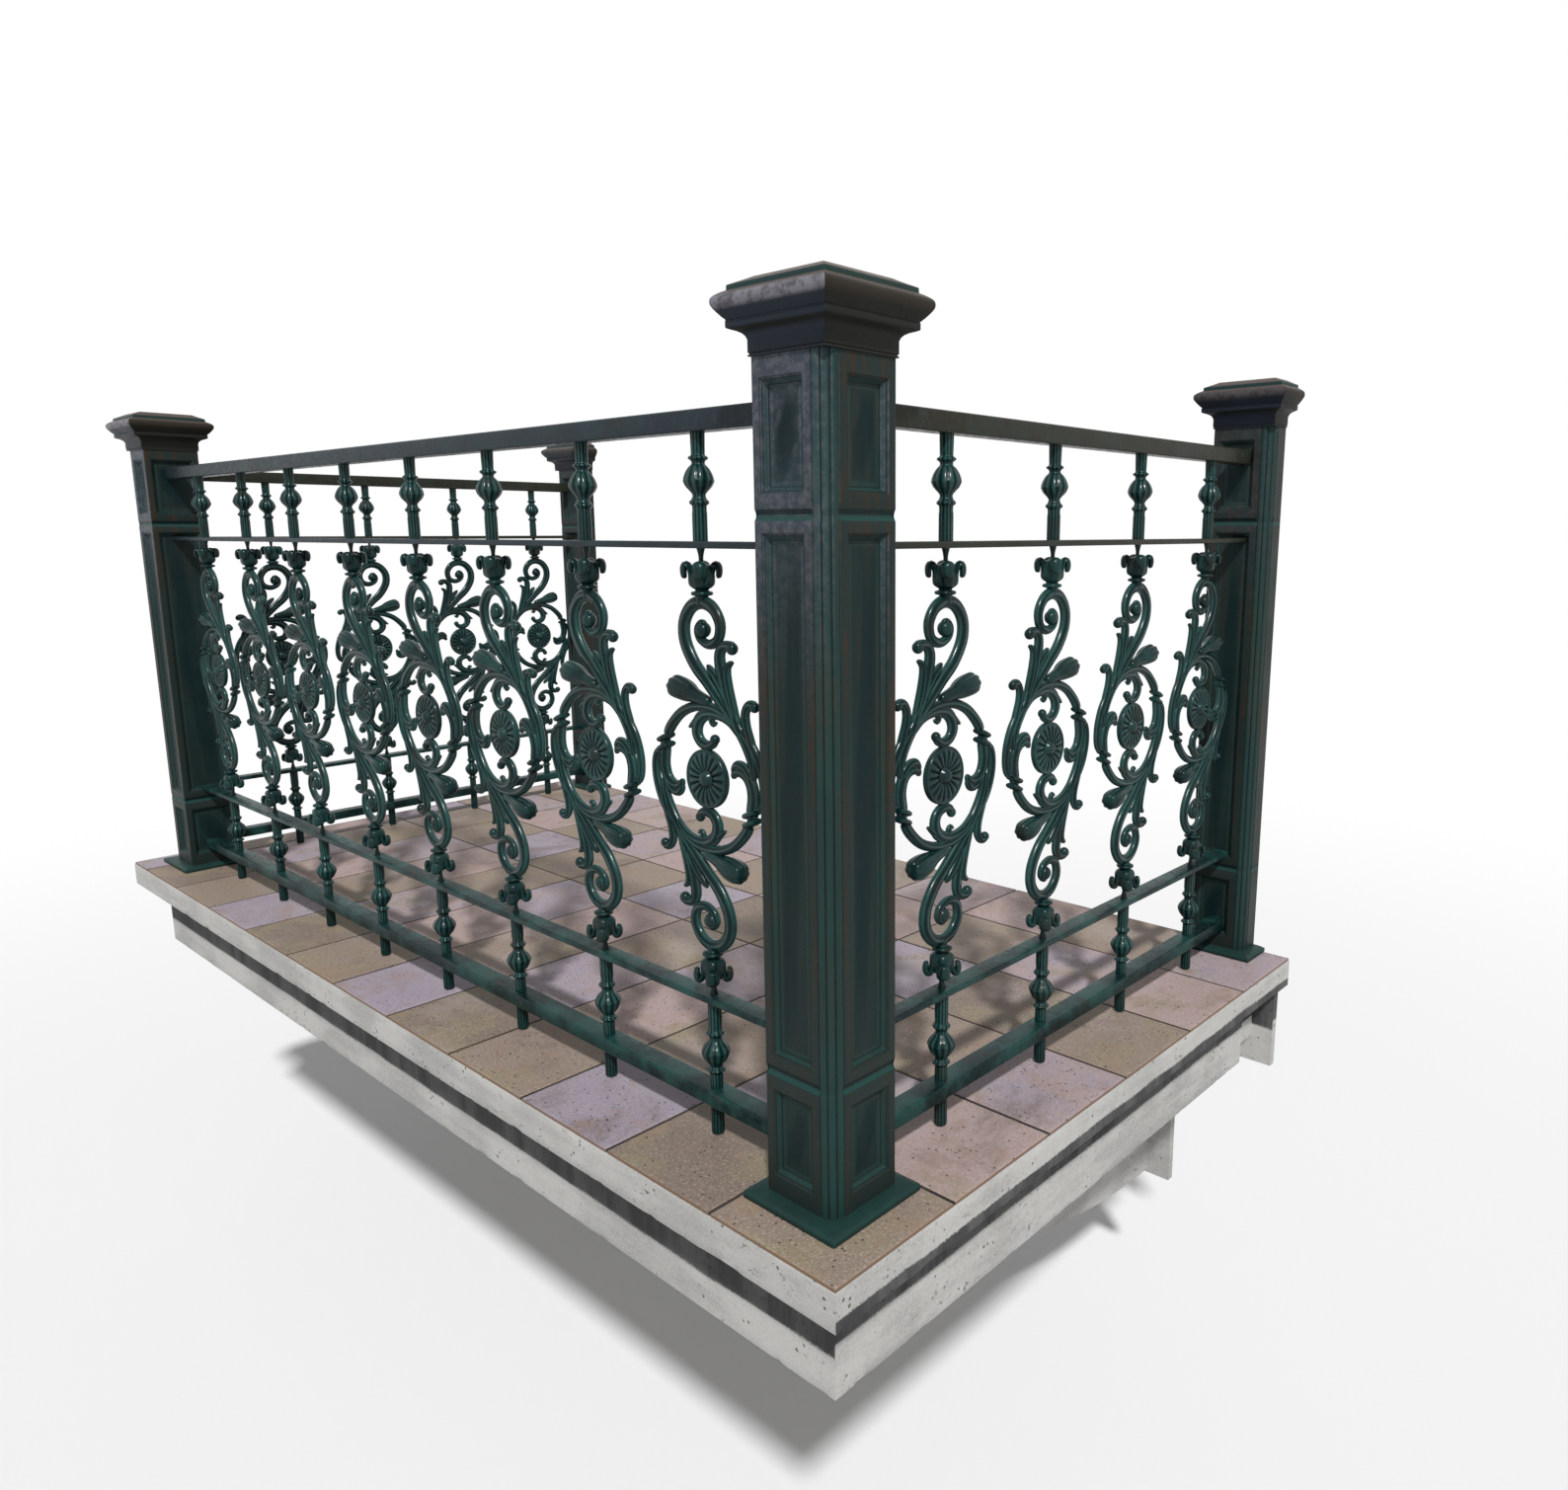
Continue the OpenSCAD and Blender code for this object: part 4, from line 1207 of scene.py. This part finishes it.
def band_box(node):
    """Box of a band in millimetres: the node's own box drawn back from the rim and deepened."""
    look = bpy.context.scene.balcony_stone
    low, high = (np.array(corner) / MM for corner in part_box(node))
    setback = look.overhang / MM - (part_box("front_edge_beam")[0].y / MM - SLAB_LOW[1])
    low[1] += setback
    if node == "front_edge_beam":
        low[0] += setback
        high -= [setback, -setback, 0]
    else:
        side = setback if node == "left_edge_beam" else -setback
        low[0] += side
        high[0] += side
    low[2] = high[2] - look.band / MM
    return low, high


class BALCONY_OT_concrete(bpy.types.Operator):
    """Casts the slab, its edge beams and the brackets with chipped, pitted edges"""

    bl_idname = "balcony.concrete"
    bl_label = "Concrete"

    def execute(self, context):
        finish = concrete_finish("weathered concrete")
        blocks = {"slab": 3.0, "front_edge_beam": 3.0, "right_edge_beam": 2.4, "left_edge_beam": 2.4}
        for seed, (node, chips) in enumerate(blocks.items()):
            low, high = (SLAB_LOW, SLAB_HIGH) if node == "slab" else band_box(node)
            shell = Shell()
            shell.grid(block_form(low, high, cell=13.0, chips=chips, seed=seed + 1))
            place(shell.mesh(node, crease=50), "cast_" + node, finish, [node])
        for node in ("edge_brackets", "inner_bracket_right", "inner_bracket_left"):
            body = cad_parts[node]
            body.data.materials.clear()
            body.data.materials.append(finish)
            edge = body.modifiers.new("eased edges", "BEVEL")
            edge.width = BRACKET_EASING
            edge.segments = 2
            edge.limit_method = "ANGLE"
        return {"FINISHED"}


class BALCONY_OT_tiles(bpy.types.Operator):
    """Lays the floor tiles from the front right corner on a bed that shows in the joints"""

    bl_idname = "balcony.tiles"
    bl_label = "Floor tiles"

    def execute(self, context):
        look = context.scene.balcony_stone
        low, high = (np.array(corner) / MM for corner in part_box("tile_floor"))
        pitch, gap = look.tile_size / MM, look.joint / MM
        xs = np.append(np.arange(high[0], low[0] + pitch * 0.25, -pitch), low[0])
        ys = np.append(np.arange(low[1], high[1] - pitch * 0.25, pitch), high[1])
        random = np.random.default_rng(5)
        shell = Shell()
        bed_low = low + [BED_INSET, BED_INSET, 0]
        bed_high = high - [BED_INSET, 0, BED_DEPTH]
        shell.grid(block_form(bed_low, bed_high, cell=120.0, chips=0.0), tone=BED_TONE)
        for i in range(len(xs) - 1):
            for j in range(len(ys) - 1):
                x1 = xs[i] - (gap / 2 if i else 0)
                x0 = xs[i + 1] + (gap / 2 if i < len(xs) - 2 else 0)
                y0 = ys[j] + (gap / 2 if j else 0)
                y1 = ys[j + 1] - (gap / 2 if j < len(ys) - 2 else 0)
                top = high[2] - UNEVEN * random.random()
                tile = tile_form(x0, x1, y0, y1, low[2] + TILE_BOTTOM, top)
                tone = LAYING[i % 3][j % 3] + TONE_SPREAD * (random.random() - 0.5)
                shell.grid(tile, tone=tone)
        finish = tile_finish("speckled tile")
        place(shell.mesh("tiles", crease=35), "tiles", finish, ["tile_floor"])
        return {"FINISHED"}


class BALCONY_OT_posts(bpy.types.Operator):
    """Casts the panelled posts with their feet and moulded caps"""

    bl_idname = "balcony.posts"
    bl_label = "Posts"

    def execute(self, context):
        finish = post_paint("post paint")
        feet = Shell()
        for wall, word in ((False, "corner"), (True, "wall")):
            shell = Shell()
            shell.grid(*shaft_form(half_post=wall))
            shaft = shell.mesh("shaft", crease=48)
            shell = Shell()
            shell.grid(square_loft(CAP_PROFILE, half_post=wall, between=6), tone=CAP_TONE)
            cap = shell.mesh("cap", crease=55)
            foot = closed(square_loft(FOOT_PROFILE[1:-1], rounding=3.0, half_post=wall))
            for side, name in SIDES:
                matrix = corner_matrix(side, wall)
                node = word + "_post_" + name
                place(moved(shaft, node, matrix), "cast_" + node, finish, [node])
                node = word + "_cap_" + name
                place(moved(cap, node, matrix), "cast_" + node, finish, [node])
                turn = np.array(matrix.to_3x3())
                feet.grid(foot @ turn.T + np.array(matrix.translation) / MM, tone=FOOT_TONE)
        place(feet.mesh("feet", crease=50), "cast_feet", finish, ["post_base_plates"])
        return {"FINISHED"}


class BALCONY_OT_rails(bpy.types.Operator):
    """Rolls the handrails and the three flat bars under them"""

    bl_idname = "balcony.rails"
    bl_label = "Rails"

    def execute(self, context):
        finish = bar_paint("bar paint")
        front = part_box("handrail_front")
        bars = {
            "handrail_front": ("front",),
            "handrail_right": ("right",),
            "handrail_left": ("left",),
            "second_rails": ("front", "right", "left"),
            "third_rails": ("front", "right", "left"),
            "bottom_rails": ("front", "right", "left"),
        }
        for node, runs in bars.items():
            low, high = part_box(node)
            top = high.z / MM
            thick = (high.z - low.z) / MM
            wide = (front[1].y - front[0].y) / MM
            if node == "bottom_rails":
                wide = 2 * (-low.y / MM + POST_Y)
            easing = ROUND_EASING if thick > THICK_BAR else SLIGHT_EASING
            shell = Shell()
            for run in runs:
                if run == "front":
                    p = bar_form(-POST_X + BAR_REACH, POST_X - BAR_REACH, top, thick, wide, easing)
                    p = p + np.array([0, POST_Y, 0])
                else:
                    p = bar_form(POST_Y + BAR_REACH, -BAR_REACH, top, thick, wide, easing)
                    side = 1 if run == "right" else -1
                    p = np.stack([side * POST_X - side * p[..., 1], p[..., 0], p[..., 2]], axis=-1)
                shell.grid(p)
            place(shell.mesh(node, crease=40), "bar_" + node, finish, [node])
        return {"FINISHED"}


class BALCONY_OT_balusters(bpy.types.Operator):
    """Casts one scrolled baluster and sets it up in front and, turned, at the sides"""

    bl_idname = "balcony.balusters"
    bl_label = "Balusters"

    def execute(self, context):
        finish = cast_paint("casting paint")
        casting = baluster_mesh()
        quarter = Matrix.Rotation(math.radians(-90), 4, "Z")
        mirror = Matrix.Diagonal((-1, 1, 1, 1))
        off_x = stem_offset()
        for i in range(1, FRONT_BALUSTERS + 1):
            node = "front_baluster_" + str(i)
            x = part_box(node)[1].x - off_x
            matrix = Matrix.Translation((x, POST_Y * MM, FLOOR * MM))
            place(moved(casting, node, matrix), "cast_" + node, finish, [node])
        for i in range(1, SIDE_BALUSTERS + 1):
            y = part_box("right_baluster_" + str(i))[0].y + off_x
            matrix = Matrix.Translation((POST_X * MM, y, FLOOR * MM)) @ quarter
            for turn, word in ((Matrix.Identity(4), "right"), (mirror, "left")):
                node = word + "_baluster_" + str(i)
                place(moved(casting, node, turn @ matrix), "cast_" + node, finish, [node])
        return {"FINISHED"}


def stem_offset():
    """Distance in metres from a baluster's stem, in the middle of its box, to the box's +X side."""
    low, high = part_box("front_baluster_8")
    return (high.x - low.x) / 2


class BALCONY_OT_stage(bpy.types.Operator):
    """Sets up the floor, the key light, the white world and the camera"""

    bl_idname = "balcony.stage"
    bl_label = "Stage"

    def execute(self, context):
        stage = context.scene.balcony_stage
        scene = context.scene
        bpy.ops.mesh.primitive_plane_add(size=FLOOR_SIZE, location=(0, FLOOR_Y, stage.ground))
        floor = context.object
        floor.name = "floor"
        floor.data.materials.append(floor_finish("pale floor"))
        data = bpy.data.lights.new("key", "SUN")
        data.energy = stage.key
        data.angle = stage.softness
        key = bpy.data.objects.new("key", data)
        key.rotation_euler = Vector(TO_LIGHT).to_track_quat("Z", "Y").to_euler()
        scene.collection.objects.link(key)
        scene.world = white_world("studio", stage.world)
        lens = bpy.data.cameras.new("photo")
        lens.sensor_width = SENSOR_WIDTH
        lens.lens = FOCAL_LENGTH
        lens.shift_x, lens.shift_y = LENS_SHIFT
        camera = bpy.data.objects.new("photo", lens)
        camera.location = CAMERA_PLACE
        camera.rotation_euler = (CAMERA_TILT, 0.0, CAMERA_TURN)
        scene.collection.objects.link(camera)
        scene.camera = camera
        scene.view_settings.view_transform = "Standard"
        floor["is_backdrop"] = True
        return {"FINISHED"}


class BALCONY_PT_panel(bpy.types.Panel):
    """Sizes, colours and buttons of the balcony in the 3D view's sidebar"""

    bl_label = "Balcony"
    bl_idname = "BALCONY_PT_panel"
    bl_space_type = "VIEW_3D"
    bl_region_type = "UI"
    bl_category = "Balcony"

    def draw(self, context):
        column = self.layout.column()
        for group in (context.scene.balcony_iron, context.scene.balcony_stone, context.scene.balcony_stage):
            for name in group.__annotations__:
                column.prop(group, name)
        for operator in OPERATORS:
            column.operator(operator.bl_idname)


GROUPS = {"balcony_iron": BalconyIron, "balcony_stone": BalconyStone, "balcony_stage": BalconyStage}
OPERATORS = (
    BALCONY_OT_concrete,
    BALCONY_OT_tiles,
    BALCONY_OT_posts,
    BALCONY_OT_rails,
    BALCONY_OT_balusters,
    BALCONY_OT_stage,
)


def register():
    for name, group in GROUPS.items():
        bpy.utils.register_class(group)
        setattr(bpy.types.Scene, name, PointerProperty(type=group))
    for cls in OPERATORS + (BALCONY_PT_panel,):
        bpy.utils.register_class(cls)


def unregister():
    for cls in (BALCONY_PT_panel,) + OPERATORS:
        bpy.utils.unregister_class(cls)
    for name, group in GROUPS.items():
        delattr(bpy.types.Scene, name)
        bpy.utils.unregister_class(group)


def main():
    """Makes every piece and the stage."""
    register()
    bpy.ops.balcony.concrete()
    bpy.ops.balcony.tiles()
    bpy.ops.balcony.posts()
    bpy.ops.balcony.rails()
    bpy.ops.balcony.balusters()
    bpy.ops.balcony.stage()
    boxes = {"before": CAD_BOX, "after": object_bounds()}
    boxes = {key: [list(corner) for corner in box] for key, box in boxes.items()}


if __name__ == "__main__":
    main()
